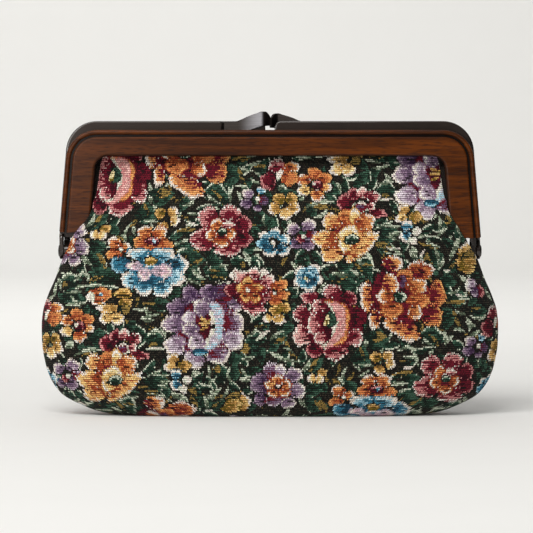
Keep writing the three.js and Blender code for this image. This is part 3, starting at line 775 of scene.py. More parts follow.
class StageSettings(bpy.types.PropertyGroup):
    """Camera, floor and light."""

    distance: bpy.props.FloatProperty(
        name="Camera distance", description="From the front of the wooden trim",
        default=2.0, min=0.5, max=5.0, unit="LENGTH")
    tilt: bpy.props.FloatProperty(
        name="Camera tilt", description="How far the camera looks down",
        default=math.radians(2.5), min=0.0, max=math.radians(30), subtype="ANGLE")
    view_width: bpy.props.FloatProperty(
        name="View width", description="Width seen at the bag's front",
        default=0.3235, min=0.1, max=2.0, unit="LENGTH")
    key: bpy.props.FloatProperty(
        name="Key light",
        description="Power of the large soft light in front, above and to the left, in watts",
        default=37.5, min=0.0, max=200.0)
    backdrop: bpy.props.FloatProperty(
        name="Backdrop light", description="Power of the soft light turned to the backdrop, in watts",
        default=13.8, min=0.0, max=200.0)
    sheen: bpy.props.FloatProperty(
        name="Sheen light", description="Power of the smaller light left of the camera, in watts",
        default=9.0, min=0.0, max=200.0)
    fill: bpy.props.FloatProperty(
        name="Fill light",
        description="Strength of the room's own light, which is brightest from the upper left",
        default=0.69, min=0.0, max=5.0)


def hex_parts(hex_colour):
    """Red, green and blue of an sRGB hex colour, each from 0 to 1."""
    return np.array([int(hex_colour[i:i + 2], 16) for i in (1, 3, 5)]) / 255


def linear(hex_colour):
    """An sRGB hex colour as linear red, green, blue and a full alpha."""
    parts = hex_parts(hex_colour)
    light = np.where(parts <= 0.04045, parts / 12.92, ((parts + 0.055) / 1.055) ** 2.4)
    return (*light.tolist(), 1.0)


def add_node(tree, kind, inputs=None, **settings):
    """Adds a node with its settings. An input whose value is a socket is linked, and any other is set."""
    node = tree.nodes.new(kind)
    for name, value in settings.items():
        setattr(node, name, value)
    for name, value in (inputs or {}).items():
        if isinstance(value, bpy.types.NodeSocket):
            tree.links.new(value, node.inputs[name])
        else:
            node.inputs[name].default_value = value
    return node


def new_material(name):
    """A material with an empty node tree."""
    material = bpy.data.materials.new(name)
    material.use_nodes = True
    material.node_tree.nodes.clear()
    return material, material.node_tree


def finish_material(tree, shader):
    """Adds the material's output and links the shader to it."""
    add_node(tree, "ShaderNodeOutputMaterial", {"Surface": shader.outputs["BSDF"]})


def bronzed_steel():
    """Bronzed steel: cold-drawn bar, chemically blackened and lacquered. Dark brown-black with a satin
    gloss, slightly cloudy, with a soft bright line along rounded edges. The grit is drawn coarser than
    the real one, so that it shows."""
    material, tree = new_material("bronzed_steel")
    place = add_node(tree, "ShaderNodeTexCoord")
    cloud = add_node(tree, "ShaderNodeTexNoise", {
        "Vector": place.outputs["Object"], "Scale": 1 / (14 * MM), "Detail": 4.0, "Roughness": 0.6})
    grit = add_node(tree, "ShaderNodeTexNoise", {
        "Vector": place.outputs["Object"], "Scale": 1 / (0.5 * MM), "Detail": 2.0})
    tone = add_node(tree, "ShaderNodeMix", {
        "Factor": cloud.outputs["Fac"], MIX_A: linear("#1a120e"), MIX_B: linear("#2b201a")},
        data_type="RGBA")
    rough = add_node(tree, "ShaderNodeMapRange", {
        "Value": cloud.outputs["Fac"], "From Min": 0.3, "From Max": 0.7, "To Min": 0.34, "To Max": 0.46})
    bump = add_node(tree, "ShaderNodeBump", {
        "Height": grit.outputs["Fac"], "Strength": 0.12, "Distance": 0.05 * MM})
    shader = add_node(tree, "ShaderNodeBsdfPrincipled", {
        "Base Color": tone.outputs[MIX_RESULT], "Metallic": 0.7, "Roughness": rough.outputs["Result"],
        "Normal": bump.outputs["Normal"], "Coat Weight": 1.0, "Coat Roughness": 0.09})
    finish_material(tree, shader)
    return material


def brushed_clasp():
    """Spring steel: rolled strip, brushed along its length and darkened. Its outer face has a painted
    highlight towards the tip: dark at the foot, grey with fine streaks beyond. The streaks are drawn
    coarser than real brush lines, so that they show."""
    material, tree = new_material("brushed_clasp")
    place = add_node(tree, "ShaderNodeTexCoord")
    along = add_node(tree, "ShaderNodeMapping", {
        "Vector": place.outputs["Object"], "Scale": (0.03, 1.0, 1.0)})
    streak = add_node(tree, "ShaderNodeTexNoise", {
        "Vector": along.outputs["Vector"], "Scale": 1 / (0.45 * MM), "Detail": 3.0, "Roughness": 0.7})
    dark = add_node(tree, "ShaderNodeMix", {
        "Factor": streak.outputs["Fac"], MIX_A: linear("#2b2725"), MIX_B: linear("#494340")},
        data_type="RGBA")
    bright = add_node(tree, "ShaderNodeMix", {
        "Factor": streak.outputs["Fac"], MIX_A: linear("#7b7a7e"), MIX_B: linear("#b4b3b8")},
        data_type="RGBA")
    where = add_node(tree, "ShaderNodeSeparateXYZ", {"Vector": place.outputs["Object"]})
    facing = add_node(tree, "ShaderNodeNewGeometry")
    turned = add_node(tree, "ShaderNodeSeparateXYZ", {"Vector": facing.outputs["Normal"]})
    outside = add_node(tree, "ShaderNodeMath", {
        0: where.outputs["X"], 1: turned.outputs["Y"]}, operation="MULTIPLY")
    length = add_node(tree, "ShaderNodeMath", {0: where.outputs["X"]}, operation="ABSOLUTE")
    near_tip = add_node(tree, "ShaderNodeMapRange", {
        "Value": length.outputs["Value"], "From Min": 20 * MM, "From Max": 4 * MM},
        interpolation_type="SMOOTHSTEP")
    flat_face = add_node(tree, "ShaderNodeMapRange", {
        "Value": outside.outputs["Value"], "From Min": 3.4 * MM, "From Max": 4.6 * MM})
    # Painted highlight: the outer face turns bright grey towards the tip
    painted_highlight = add_node(tree, "ShaderNodeMath", {
        0: near_tip.outputs["Result"], 1: flat_face.outputs["Result"]}, operation="MULTIPLY")
    tone = add_node(tree, "ShaderNodeMix", {
        "Factor": painted_highlight.outputs["Value"], MIX_A: dark.outputs[MIX_RESULT],
        MIX_B: bright.outputs[MIX_RESULT]},
        data_type="RGBA")
    rough = add_node(tree, "ShaderNodeMapRange", {
        "Value": streak.outputs["Fac"], "From Min": 0.3, "From Max": 0.7, "To Min": 0.26, "To Max": 0.42})
    bump = add_node(tree, "ShaderNodeBump", {
        "Height": streak.outputs["Fac"], "Strength": 0.2, "Distance": 0.05 * MM})
    shader = add_node(tree, "ShaderNodeBsdfPrincipled", {
        "Base Color": tone.outputs[MIX_RESULT], "Metallic": 1.0, "Roughness": rough.outputs["Result"],
        "Normal": bump.outputs["Normal"]})
    finish_material(tree, shader)
    return material


def walnut(grain_width):
    """Walnut: sawn with the grain along X, moulded, given a stain and rubbed with a satin oil. Brown with
    darker bands, short dark pores along the grain and a low sheen that the pores break up, with painted
    shade in the groove and along the inner edge. The pores are drawn wider than real ones, so that they
    show."""
    material, tree = new_material("walnut_trim")
    place = add_node(tree, "ShaderNodeTexCoord")
    band_place = add_node(tree, "ShaderNodeMapping", {
        "Vector": place.outputs["Object"], "Scale": (0.05, 0.35, 1.0)})
    band = add_node(tree, "ShaderNodeTexNoise", {
        "Vector": band_place.outputs["Vector"], "Scale": 0.25 / grain_width, "Detail": 6.0,
        "Roughness": 0.62, "Distortion": 0.6})  # the finer bands, two octaves up, are a grain width apart
    pore_place = add_node(tree, "ShaderNodeMapping", {
        "Vector": place.outputs["Object"], "Scale": (0.1, 0.5, 1.0)})
    pore = add_node(tree, "ShaderNodeTexNoise", {
        "Vector": pore_place.outputs["Vector"], "Scale": 1 / (0.7 * MM), "Detail": 2.0, "Roughness": 0.5})
    pore_mask = add_node(tree, "ShaderNodeMapRange", {
        "Value": pore.outputs["Fac"], "From Min": 0.5, "From Max": 0.68, "To Min": 0.0, "To Max": 0.75})
    band_mask = add_node(tree, "ShaderNodeMapRange", {
        "Value": band.outputs["Fac"], "From Min": 0.34, "From Max": 0.66})
    tone = add_node(tree, "ShaderNodeMix", {
        "Factor": band_mask.outputs["Result"], MIX_A: linear("#2d1304"), MIX_B: linear("#5d2e0b")},
        data_type="RGBA")
    pored = add_node(tree, "ShaderNodeMix", {
        "Factor": pore_mask.outputs["Result"], MIX_A: tone.outputs[MIX_RESULT], MIX_B: linear("#24120a")},
        data_type="RGBA")
    # Painted shade: the points' attribute mixes a near-black brown into the groove and along the inner edge
    stain = add_node(tree, "ShaderNodeAttribute", attribute_name="stain")
    shade_painted = add_node(tree, "ShaderNodeMix", {
        "Factor": stain.outputs["Fac"], MIX_A: pored.outputs[MIX_RESULT], MIX_B: linear("#120a07")},
        data_type="RGBA")
    rough = add_node(tree, "ShaderNodeMapRange", {
        "Value": pore_mask.outputs["Result"], "To Min": 0.32, "To Max": 0.52})
    bump = add_node(tree, "ShaderNodeBump", {
        "Height": pore_mask.outputs["Result"], "Strength": 0.35, "Distance": 0.08 * MM}, invert=True)
    shader = add_node(tree, "ShaderNodeBsdfPrincipled", {
        "Base Color": shade_painted.outputs[MIX_RESULT], "Roughness": rough.outputs["Result"],
        "Specular IOR Level": 0.06, "Normal": bump.outputs["Normal"],
        "Coat Weight": 0.17, "Coat Roughness": 0.2})
    finish_material(tree, shader)
    return material


def tapestry(relief):
    """Jacquard tapestry: cotton yarns woven in ribs. Each stitch of the chart has one flat colour in the
    "yarn" attribute, and the yarn of "under" shows as a line between the ribs. The "cloth_mm" map measures
    along the cloth, so ribs and gaps follow the weave, with painted shade where a yarn dives and painted
    light on the rib tops; soft and dull on top, with a faint fuzz."""
    material, tree = new_material("tapestry")
    yarn = add_node(tree, "ShaderNodeAttribute", attribute_name="yarn")
    under = add_node(tree, "ShaderNodeAttribute", attribute_name="under")
    way = add_node(tree, "ShaderNodeUVMap", uv_map="cloth_mm")
    count = add_node(tree, "ShaderNodeMapping", {
        "Vector": way.outputs["UV"], "Scale": (1 / WARP_PITCH, 1 / RIB_PITCH, 1.0)})
    parts = add_node(tree, "ShaderNodeSeparateXYZ", {"Vector": count.outputs["Vector"]})
    rib = add_node(tree, "ShaderNodeMath", {0: parts.outputs["Y"], 1: 0.5}, operation="PINGPONG")
    rib_round = add_node(tree, "ShaderNodeMapRange", {
        "Value": rib.outputs["Value"], "From Max": 0.42}, interpolation_type="SMOOTHSTEP")
    row = add_node(tree, "ShaderNodeMath", {0: parts.outputs["Y"]}, operation="FLOOR")
    place = add_node(tree, "ShaderNodeMath", {
        0: row.outputs["Value"], 1: 0.5, 2: parts.outputs["X"]}, operation="MULTIPLY_ADD")
    twist = add_node(tree, "ShaderNodeMath", {0: place.outputs["Value"], 1: 0.5}, operation="PINGPONG")
    twist_round = add_node(tree, "ShaderNodeMapRange", {
        "Value": twist.outputs["Value"], "From Max": 0.4, "To Min": 0.45}, interpolation_type="SMOOTHSTEP")
    height = add_node(tree, "ShaderNodeMath", {
        0: rib_round.outputs["Result"], 1: twist_round.outputs["Result"]}, operation="MULTIPLY")
    fuzz = add_node(tree, "ShaderNodeTexNoise", {
        "Vector": count.outputs["Vector"], "Scale": 1.7, "Detail": 3.0, "Roughness": 0.7})
    # Painted shade and light: colour darkened in the gaps between ribs and lightened on the rib tops
    shade = add_node(tree, "ShaderNodeMapRange", {
        "Value": height.outputs["Value"], "To Min": 0.45, "To Max": 1.22})
    fuzz_shade = add_node(tree, "ShaderNodeMapRange", {
        "Value": fuzz.outputs["Fac"], "From Min": 0.3, "From Max": 0.7, "To Min": 0.86, "To Max": 1.1})
    light = add_node(tree, "ShaderNodeMath", {
        0: shade.outputs["Result"], 1: fuzz_shade.outputs["Result"]}, operation="MULTIPLY")
    cover = add_node(tree, "ShaderNodeMapRange", {
        "Value": rib.outputs["Value"], "From Min": 0.1, "From Max": 0.24}, interpolation_type="SMOOTHSTEP")
    woven = add_node(tree, "ShaderNodeMix", {
        "Factor": cover.outputs["Result"], MIX_A: under.outputs["Color"], MIX_B: yarn.outputs["Color"]},
        data_type="RGBA")
    colour = add_node(tree, "ShaderNodeVectorMath", {
        0: woven.outputs[MIX_RESULT], "Scale": light.outputs["Value"]}, operation="SCALE")
    bump = add_node(tree, "ShaderNodeBump", {
        "Height": height.outputs["Value"], "Strength": 0.8, "Distance": relief})
    shader = add_node(tree, "ShaderNodeBsdfPrincipled", {
        "Base Color": colour.outputs["Vector"], "Roughness": 0.92, "Specular IOR Level": 0.1,
        "Normal": bump.outputs["Normal"], "Sheen Weight": 0.03, "Sheen Roughness": 0.6})
    finish_material(tree, shader)
    return material


def seamless_paper():
    """Background paper: pale, matt and even, with the faintest mottling."""
    material, tree = new_material("seamless_paper")
    place = add_node(tree, "ShaderNodeTexCoord")
    mottle = add_node(tree, "ShaderNodeTexNoise", {
        "Vector": place.outputs["Object"], "Scale": 1 / (60 * MM), "Detail": 2.0})
    tone = add_node(tree, "ShaderNodeMix", {
        "Factor": mottle.outputs["Fac"], MIX_A: linear("#ebebea"), MIX_B: linear("#ededec")},
        data_type="RGBA")
    shader = add_node(tree, "ShaderNodeBsdfPrincipled", {
        "Base Color": tone.outputs[MIX_RESULT], "Roughness": 0.9, "Specular IOR Level": 0.1})
    finish_material(tree, shader)
    return material


def grid_quads(rows, columns, start=0, close_rows=False, close_columns=False):
    """Quads of a grid of points counted row by row, closed round either way if asked."""
    index = start + np.arange(rows * columns).reshape(rows, columns)
    if close_rows:
        index = np.vstack([index, index[:1]])
    if close_columns:
        index = np.hstack([index, index[:, :1]])
    corners = [index[:-1, :-1], index[1:, :-1], index[1:, 1:], index[:-1, 1:]]
    return np.stack(corners, axis=-1).reshape(-1, 4)


def tube_faces(rings, count, flip=False):
    """Faces of a row of rings: quads between them and a cap at each end, turned round if asked."""
    quads = grid_quads(rings, count, close_columns=True)
    caps = np.stack([np.arange(count), np.arange(count)[::-1] + (rings - 1) * count])
    order = -1 if flip else 1
    return quads[:, ::order].tolist() + caps[:, ::order].tolist()


def turned_back(points):
    """Points of a front piece turned half a turn about the vertical, for the back one."""
    return points * np.array([-1.0, -1.0, 1.0])


def add_piece(name, points, faces, material, sharp=35):
    """Makes a mesh object at the origin from points in mm, smooth apart from edges over the sharp angle."""
    mesh = bpy.data.meshes.new(name)
    mesh.from_pydata((np.asarray(points) * MM).tolist(), [], faces)
    mesh.update()
    mesh.shade_smooth()
    mesh.set_sharp_from_angle(angle=math.radians(sharp))
    mesh.materials.append(material)
    piece = bpy.data.objects.new(name, mesh)
    bpy.context.scene.collection.objects.link(piece)
    return piece


def seat(piece, node):
    """Puts a piece on the part's one body in place of its CAD node, which it hides."""
    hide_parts(node)
    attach(piece, "root")


def running_length(points):
    """Length along a line of flat points, from its start to each of them."""
    return np.concatenate([[0], np.cumsum(np.hypot(*np.diff(points, axis=0).T))])


def smooth_rows(knots, values, at):
    """Smooth curves through rows of values that never swing past them.

    Each knot's slope is the harmonic mean of the slopes beside it, or zero at a turn, and cubics join them.
    """
    step = np.diff(knots)[:, None]
    slope = np.diff(values, axis=0) / step
    product = np.maximum(slope[:-1] * slope[1:], 0)
    total = np.where(product > 0, slope[:-1] + slope[1:], 1)
    lean = np.vstack([slope[:1], 2 * product / total, slope[-1:]])
    k = np.clip(np.searchsorted(knots, at, side="right") - 1, 0, len(knots) - 2)
    h = step[k]
    t = ((at - knots[k]) / step[k, 0])[:, None]
    start = (1 + 2 * t) * (1 - t) ** 2 * values[k] + t * (1 - t) ** 2 * h * lean[k]
    end = t ** 2 * (3 - 2 * t) * values[k + 1] + t ** 2 * (t - 1) * h * lean[k + 1]
    return start + end


def frame_path(outline, top_x):
    """Stations round an inverted U, from the left leg's end to the right leg's: points and outward normals.

    A corner turns evenly from the leg's lean to upright. Along the top, stations stand at top_x.
    """
    lean = math.atan(FLARE)
    centre_z = outline["top"] - outline["corner"]
    rise = math.sin(lean) * (centre_z - WIDTH_LEVEL)
    centre_x = outline["half_width"] - (outline["corner"] + rise) / math.cos(lean)
    angle = np.linspace(lean, math.pi / 2, CORNER_STEPS + 1)
    corner = np.stack([np.cos(angle), np.sin(angle)], axis=1)
    right = np.array([centre_x, centre_z]) + outline["corner"] * corner
    foot_right = [right[0, 0] + FLARE * (right[0, 1] - LEG_END_RIGHT), LEG_END_RIGHT]
    foot_left = [-right[0, 0] - FLARE * (right[0, 1] - LEG_END_LEFT), LEG_END_LEFT]
    mirror = np.array([-1.0, 1.0])
    top = np.stack([top_x, np.full(len(top_x), outline["top"])], axis=1)
    points = np.vstack([foot_left, right * mirror, top, right[::-1], foot_right])
    normals = np.vstack([corner[0] * mirror, corner * mirror, np.tile([0.0, 1.0], (len(top_x), 1)),
                         corner[::-1], corner[0]])
    return points, normals


def sweep_section(section, paths):
    """Carries a section round the frame and caps its two ends.

    section rows are (path name, inset from that path, forward depth); a ring of the sweep is every row at
    one station: the path's point moved inwards along its normal, at its depth.
    """
    rings = np.stack([
        np.column_stack([
            paths[name][0][:, 0] - inset * paths[name][1][:, 0],
            np.full(len(paths[name][0]), -forward),
            paths[name][0][:, 1] - inset * paths[name][1][:, 1],
        ]) for name, inset, forward in section], axis=1)
    return rings.reshape(-1, 3), tube_faces(*rings.shape[:2], flip=True)


def notched_top():
    """The rail's top outline through the notch, from left to right: points, outward normals and the place
    of each point's station along the rail's straight foot.

    A quarter circle falls from the rail's top to the left wall, small fillets join the walls to the floor,
    and a wider quarter circle climbs back to the top on the right.
    """
    top = RAIL_OUTLINE["top"]
    quarter = np.linspace(0, math.pi / 2, 9)
    fillet = np.linspace(0, math.pi / 2, 5)
    side_stations = len(quarter) + len(fillet)
    left_round = np.stack([
        NOTCH_LEFT - NOTCH_LEFT_ROUND * (1 - np.sin(quarter)),
        top - NOTCH_LEFT_ROUND * (1 - np.cos(quarter)),
        np.sin(quarter),
        np.cos(quarter),
    ], axis=1)
    left_foot = np.stack([
        NOTCH_LEFT + NOTCH_FOOT_ROUND * (1 - np.cos(fillet)),
        NOTCH_FLOOR + NOTCH_FOOT_ROUND * (1 - np.sin(fillet)),
        np.cos(fillet),
        np.sin(fillet),
    ], axis=1)
    right_foot = np.stack([
        NOTCH_RIGHT - NOTCH_FOOT_ROUND * (1 - np.sin(fillet)),
        NOTCH_FLOOR + NOTCH_FOOT_ROUND * (1 - np.cos(fillet)),
        -np.sin(fillet),
        np.cos(fillet),
    ], axis=1)
    right_round = np.stack([
        NOTCH_RIGHT + NOTCH_RIGHT_ROUND * (1 - np.cos(quarter)),
        top - NOTCH_RIGHT_ROUND * (1 - np.sin(quarter)),
        -np.cos(quarter),
        np.sin(quarter),
    ], axis=1)
    outline = np.vstack([left_round, left_foot, right_foot, right_round])
    left_x = np.linspace(NOTCH_LEFT - NOTCH_LEFT_ROUND, NOTCH_LEFT + NOTCH_FOOT_ROUND, side_stations)
    right_x = np.linspace(NOTCH_RIGHT - NOTCH_FOOT_ROUND, NOTCH_RIGHT + NOTCH_RIGHT_ROUND, side_stations)
    return outline[:, :2], outline[:, 2:], np.concatenate([left_x, right_x])


def arc_steps(start, end, steps=5):
    """Points of a quarter turn between two points of a section: the first number goes by 1 - cos of an
    even turn and the second by its sine."""
    angle = np.linspace(0, math.pi / 2, steps)
    first = start[0] + (end[0] - start[0]) * (1 - np.cos(angle))
    second = start[1] + (end[1] - start[1]) * np.sin(angle)
    return list(zip(first, second))


def hinge_ear(near, far, leg_end):
    """A drilled plate in the plane of the hinge, as a closed ring of sections round the pivot.

    A ray from the pivot runs to a round end below and behind, and elsewhere to the nearest of a flat front,
    a top and a slant. Each section goes from the hole out to there, with eased edges, and back.
    """
    angle = np.linspace(0, 2 * math.pi, ROUND_SIDES * 2, endpoint=False)
    ray_y, ray_z = np.cos(angle), np.sin(angle)
    slant_start = EAR_RADIUS * np.array([math.cos(EAR_SLANT_MEETS), math.sin(EAR_SLANT_MEETS)])
    slant_end = np.array([-HALF_BACK, EAR_SLANT_TOP - PIVOT_HEIGHT])
    run = slant_end - slant_start
    slant_normal = np.array([run[1], -run[0]]) / np.hypot(*run)
    slant_face = ray_y * slant_normal[0] + ray_z * slant_normal[1]
    tiny = 1e-6
    to_front = RAIL_FRONT / np.maximum(-ray_y, tiny)
    to_top = (leg_end + EAR_ROOT - PIVOT_HEIGHT) / np.maximum(ray_z, tiny)
    to_slant = (slant_start @ slant_normal) / np.maximum(slant_face, tiny)
    round_end = (ray_z < 0) | (ray_y > math.cos(EAR_SLANT_MEETS))
    reach = np.where(round_end, EAR_RADIUS, np.minimum.reduce([to_front, to_top, to_slant]))
    hole = np.full(len(angle), EAR_HOLE)
    section = (
        (near, hole),
        (near, reach - EAR_EASE),
        (near + EAR_EASE, reach),
        (far - EAR_EASE, reach),
        (far, reach - EAR_EASE),
        (far, hole),
    )
    points = np.stack([
        np.column_stack([np.full(len(angle), x), radius * ray_y, PIVOT_HEIGHT + radius * ray_z])
        for x, radius in section], axis=1)
    quads = grid_quads(len(angle), len(section), close_rows=True, close_columns=True)
    return points.reshape(-1, 3), quads


def steel_half(edge_round):
    """One half of the steel frame: a rail with rounded outer edges and a thin flange, notched on top,
    with its two drilled hinge ears."""
    r = edge_round / MM
    outer_points, outer_normals, foot_x = notched_top()
    plain_points, plain_normals = frame_path(RAIL_OUTLINE, foot_x)
    before = CORNER_STEPS + 2
    after = before + len(foot_x)
    paths = {
        "outer": (
            np.vstack([plain_points[:before], outer_points, plain_points[after:]]),
            np.vstack([plain_normals[:before], outer_normals, plain_normals[after:]]),
        ),
        "rail": (plain_points, plain_normals),
        "inner": frame_path(FLANGE_OPENING, foot_x),
    }
    section = [("outer", x, y) for x, y in arc_steps((r, HALF_BACK), (0, HALF_BACK + r))]
    section += [("outer", x, y) for x, y in arc_steps((0, RAIL_FRONT - r), (r, RAIL_FRONT))]
    section += [
        ("outer", r + EDGE_SUPPORT, RAIL_FRONT),
        ("rail", RAIL_TALL, RAIL_FRONT),
        ("rail", RAIL_TALL, FLANGE_FRONT),
        ("inner", 0, FLANGE_FRONT),
        ("inner", 0, HALF_BACK),
    ]
    points, faces = sweep_section(section, paths)
    for (near, far), leg_end in ((OUTER_EAR, LEG_END_LEFT), (INNER_EAR, LEG_END_RIGHT)):
        ear_points, ear_quads = hinge_ear(near, far, leg_end)
        faces += (ear_quads + len(points)).tolist()
        points = np.vstack([points, ear_points])
    return points, faces


def wood_trim():
    """The moulded trim of one half: a rounded bead outside, a groove, then a flat band with eased edges.

    The third result is each point's painted shade: full in the groove, and fading in over the inner edge's
    round.
    """
    paths = {"outer": frame_path(TRIM_OUTLINE, TRIM_TOP_X), "inner": frame_path(TRIM_OPENING, TRIM_TOP_X)}
    bead = np.linspace(math.pi, 0, BEAD_STEPS)
    bead_inset = BEAD_HALF_WIDTH * (1 + np.cos(bead))
    bead_depth = BEAD_BASE + BEAD_RISE * np.sin(bead)
    inner_round = arc_steps((0, TRIM_FRONT - INNER_ROUND), (INNER_ROUND, TRIM_FRONT), INNER_ROUND_STEPS)
    section = [("outer", 0.0, TRIM_BACK)]
    section += [("outer", inset, depth) for inset, depth in zip(bead_inset, bead_depth)]
    section += [("outer", inset, depth) for inset, depth in GROOVE]
    section += [("outer", inset, depth) for inset, depth in arc_steps(BAND_EDGE_START, BAND_EDGE_END)]
    section += [("outer", BAND_EDGE_END[0] + EDGE_SUPPORT, TRIM_FRONT)]
    section += [("inner", -INNER_ROUND - EDGE_SUPPORT, TRIM_FRONT)]
    section += [("inner", -inset, depth) for inset, depth in reversed(inner_round)]
    section += [("inner", 0.0, TRIM_BACK)]
    points, faces = sweep_section(section, paths)
    # Painted shade where shade falls: full on the groove's floor, growing over the inner edge's round
    stain = [
        float(depth == GROOVE_FLOOR) if side == "outer" else INNER_PAINTED_SHADE * max(1 + inset / INNER_ROUND, 0)
        for side, inset, depth in section]
    return points, faces, np.tile(stain, len(points) // len(section))


def clasp_tongue():
    """A bent strip: a rectangle with eased edges carried along the tongue's rows, square to its bend."""
    reach = running_length(TONGUE_ROWS[:, :2])
    rows = smooth_rows(reach, TONGUE_ROWS, np.linspace(0, reach[-1], TONGUE_RINGS))
    along = np.column_stack([rows[:, 0], -rows[:, 1]])
    bottom, top = rows[:, 2], rows[:, 3]
    run = np.gradient(along, axis=0)
    run /= np.hypot(run[:, 0], run[:, 1])[:, None]
    side = np.column_stack([run[:, 1], -run[:, 0]])
    half = TONGUE_THICK / 2
    inner = half - TONGUE_EASE
    section = (
        (inner, bottom),
        (half, bottom + TONGUE_EASE),
        (half, top - TONGUE_EASE),
        (inner, top),
        (-inner, top),
        (-half, top - TONGUE_EASE),
        (-half, bottom + TONGUE_EASE),
        (-inner, bottom),
    )
    rings = np.stack([np.column_stack([along + across * side, z]) for across, z in section], axis=1)
    return rings.reshape(-1, 3), tube_faces(*rings.shape[:2])


def hinge_rivet():
    """A rivet turned about X: domed head outside the outer ear, shaft through the ears, flat head inside.

    The dome's first ring is a very small flat on its top, so that the head closes like the tail.
    """
    head_face = -OUTER_EAR[0] + RIVET_GAP
    tail_face = INNER_EAR[0] - RIVET_GAP
    tail_end = tail_face - RIVET_TAIL
    dome = np.linspace(RIVET_DOME_START, math.pi / 2, RIVET_DOME_STEPS)
    profile = np.array([
        *zip(head_face + RIVET_DOME * np.cos(dome), RIVET_HEAD * np.sin(dome)),
        (head_face, RIVET_SHAFT),
        (tail_face, RIVET_SHAFT),
        (tail_face, RIVET_TAIL_HEAD - RIVET_EASE),
        (tail_face - RIVET_EASE, RIVET_TAIL_HEAD),
        (tail_end + RIVET_EASE, RIVET_TAIL_HEAD),
        (tail_end, RIVET_TAIL_HEAD - RIVET_EASE),
    ])
    turn = np.linspace(0, 2 * math.pi, ROUND_SIDES, endpoint=False)
    x, radius = profile[:, :1], profile[:, 1:]
    y, z = radius * np.cos(turn), PIVOT_HEIGHT + radius * np.sin(turn)
    rings = np.stack(np.broadcast_arrays(x, y, z), axis=2)
    return rings.reshape(-1, 3), tube_faces(*rings.shape[:2])


def belly_swell(share):
    """How far the belly swells forward at a share of its half width, as a share of the most: one less the
    share's cube, to the power 0.6."""
    return np.maximum(1 - np.abs(share) ** BELLY_POWER, 0) ** BELLY_ROUND


def hanging_waves(across, down, z):
    """Soft waves of the hanging cloth, from -1 to 1: the product of two slanting sines.

    They fade out over the base, below the frame and towards the side seams.
    """
    first = np.sin(across / WAVE_FIRST[0] + down / WAVE_FIRST[1])
    second = np.sin(across / WAVE_SECOND[0] - WAVE_PHASE + down / WAVE_SECOND[1])
    from_base = np.clip((z - WAVE_LOW) / WAVE_LOW_SPAN, 0, 1)
    from_frame = np.clip((WAVE_HIGH - z) / WAVE_HIGH_SPAN, 0, 1)
    from_seam = 1 - np.abs(across) / np.abs(across).max(axis=1, keepdims=True)
    return first * second * (from_base * from_frame) * np.clip(from_seam / WAVE_SEAM_SPAN, 0, 1)


def panel_sheet(slack):
    """The outer face of a panel as a grid of points in mm, with each point's way across and down the cloth
    and each row's rim, the depth that the lining stays in front of.

    Down: the table's levels, joined by smooth curves, at even steps along the middle of the panel.
    Across: x = share * belly half width, with shares at even steps along the widest level; the cloth swells
    forward from the side depth to the mid depth, and a short strip turns back to the edge.
    The cloth hangs in soft waves, and beside the hinges it lies about a millimetre to the left.
    """
    knots = running_length(PANEL_ROWS[:, [0, 7]])
    even = np.linspace(0, knots[-1], STITCHES_DOWN + 1)
    rows = smooth_rows(knots, PANEL_ROWS, even)
    z, belly_x, belly_y, turn_x, turn_y, edge_x, edge_y, depth = np.hsplit(rows, 8)
    tucked = PANEL_ROWS[:, 2] > PANEL_ROWS[:, 6]
    rim = smooth_rows(knots, np.where(tucked, PANEL_ROWS[:, 6], SEAM)[:, None], even)
    widest = PANEL_ROWS[PANEL_ROWS[:, 1].argmax()]
    fine = np.sin(np.linspace(-1, 1, 801) * math.pi / 2)  # closest together at the seams
    length = running_length(np.column_stack([
        fine * widest[1], belly_swell(fine) * (widest[7] - widest[2])]))
    belly_stitches = STITCHES_ACROSS - 2 * STRIP_STITCHES
    share = np.interp(np.linspace(0, length[-1], belly_stitches + 1), length, fine)[None, :]
    forward = belly_y + (depth - belly_y) * belly_swell(share)
    belly = np.stack(np.broadcast_arrays(share * belly_x, -forward, z), axis=2)
    t = np.linspace(0, 2, STRIP_STITCHES + 1)[1:]
    strip_x = np.where(t < 1, belly_x + (turn_x - belly_x) * t, turn_x + (edge_x - turn_x) * (t - 1))
    strip_y = np.where(t < 1, belly_y + (turn_y - belly_y) * t, turn_y + (edge_y - turn_y) * (t - 1))
    strip = np.stack(np.broadcast_arrays(strip_x, -strip_y, z), axis=2)
    sheet = np.concatenate([strip[:, ::-1] * np.array([-1.0, 1.0, 1.0]), belly, strip], axis=1)
    middle = STITCHES_ACROSS // 2
    run = np.diff(sheet, axis=1, prepend=sheet[:, :1])
    across = np.cumsum(np.linalg.norm(run, axis=2), axis=1)
    across -= across[:, middle, None]
    fall = np.diff(sheet[:, middle], axis=0, prepend=sheet[:1, middle])
    down = np.cumsum(np.linalg.norm(fall, axis=1))
    down -= np.interp(-CHART_MIDDLE, -z[:, 0], down)
    down = np.broadcast_to(down[:, None], across.shape)
    sheet[:, :, 1] -= slack / MM * hanging_waves(across, down, z)
    sheet[:, :, 0] -= HINGE_SHIFT * np.exp(-((z - HINGE_SHIFT_LEVEL) / HINGE_SHIFT_SPREAD) ** 2)
    return sheet, across, down, rim


def lining_sheet(sheet, rim, wall):
    """The inner face: the outer one moved in along its normal by the cloth's thickness, in fewer points."""
    normal = np.cross(np.gradient(sheet, axis=1), np.gradient(sheet, axis=0))
    normal[-1] = normal[-2]  # both rows lie in the flat base
    normal /= np.linalg.norm(normal, axis=2, keepdims=True)
    inner = sheet + normal * (wall / MM)
    inner[:, :, 1] = np.minimum(inner[:, :, 1], -rim)
    return inner[::LINING_STRIDE, ::LINING_STRIDE]


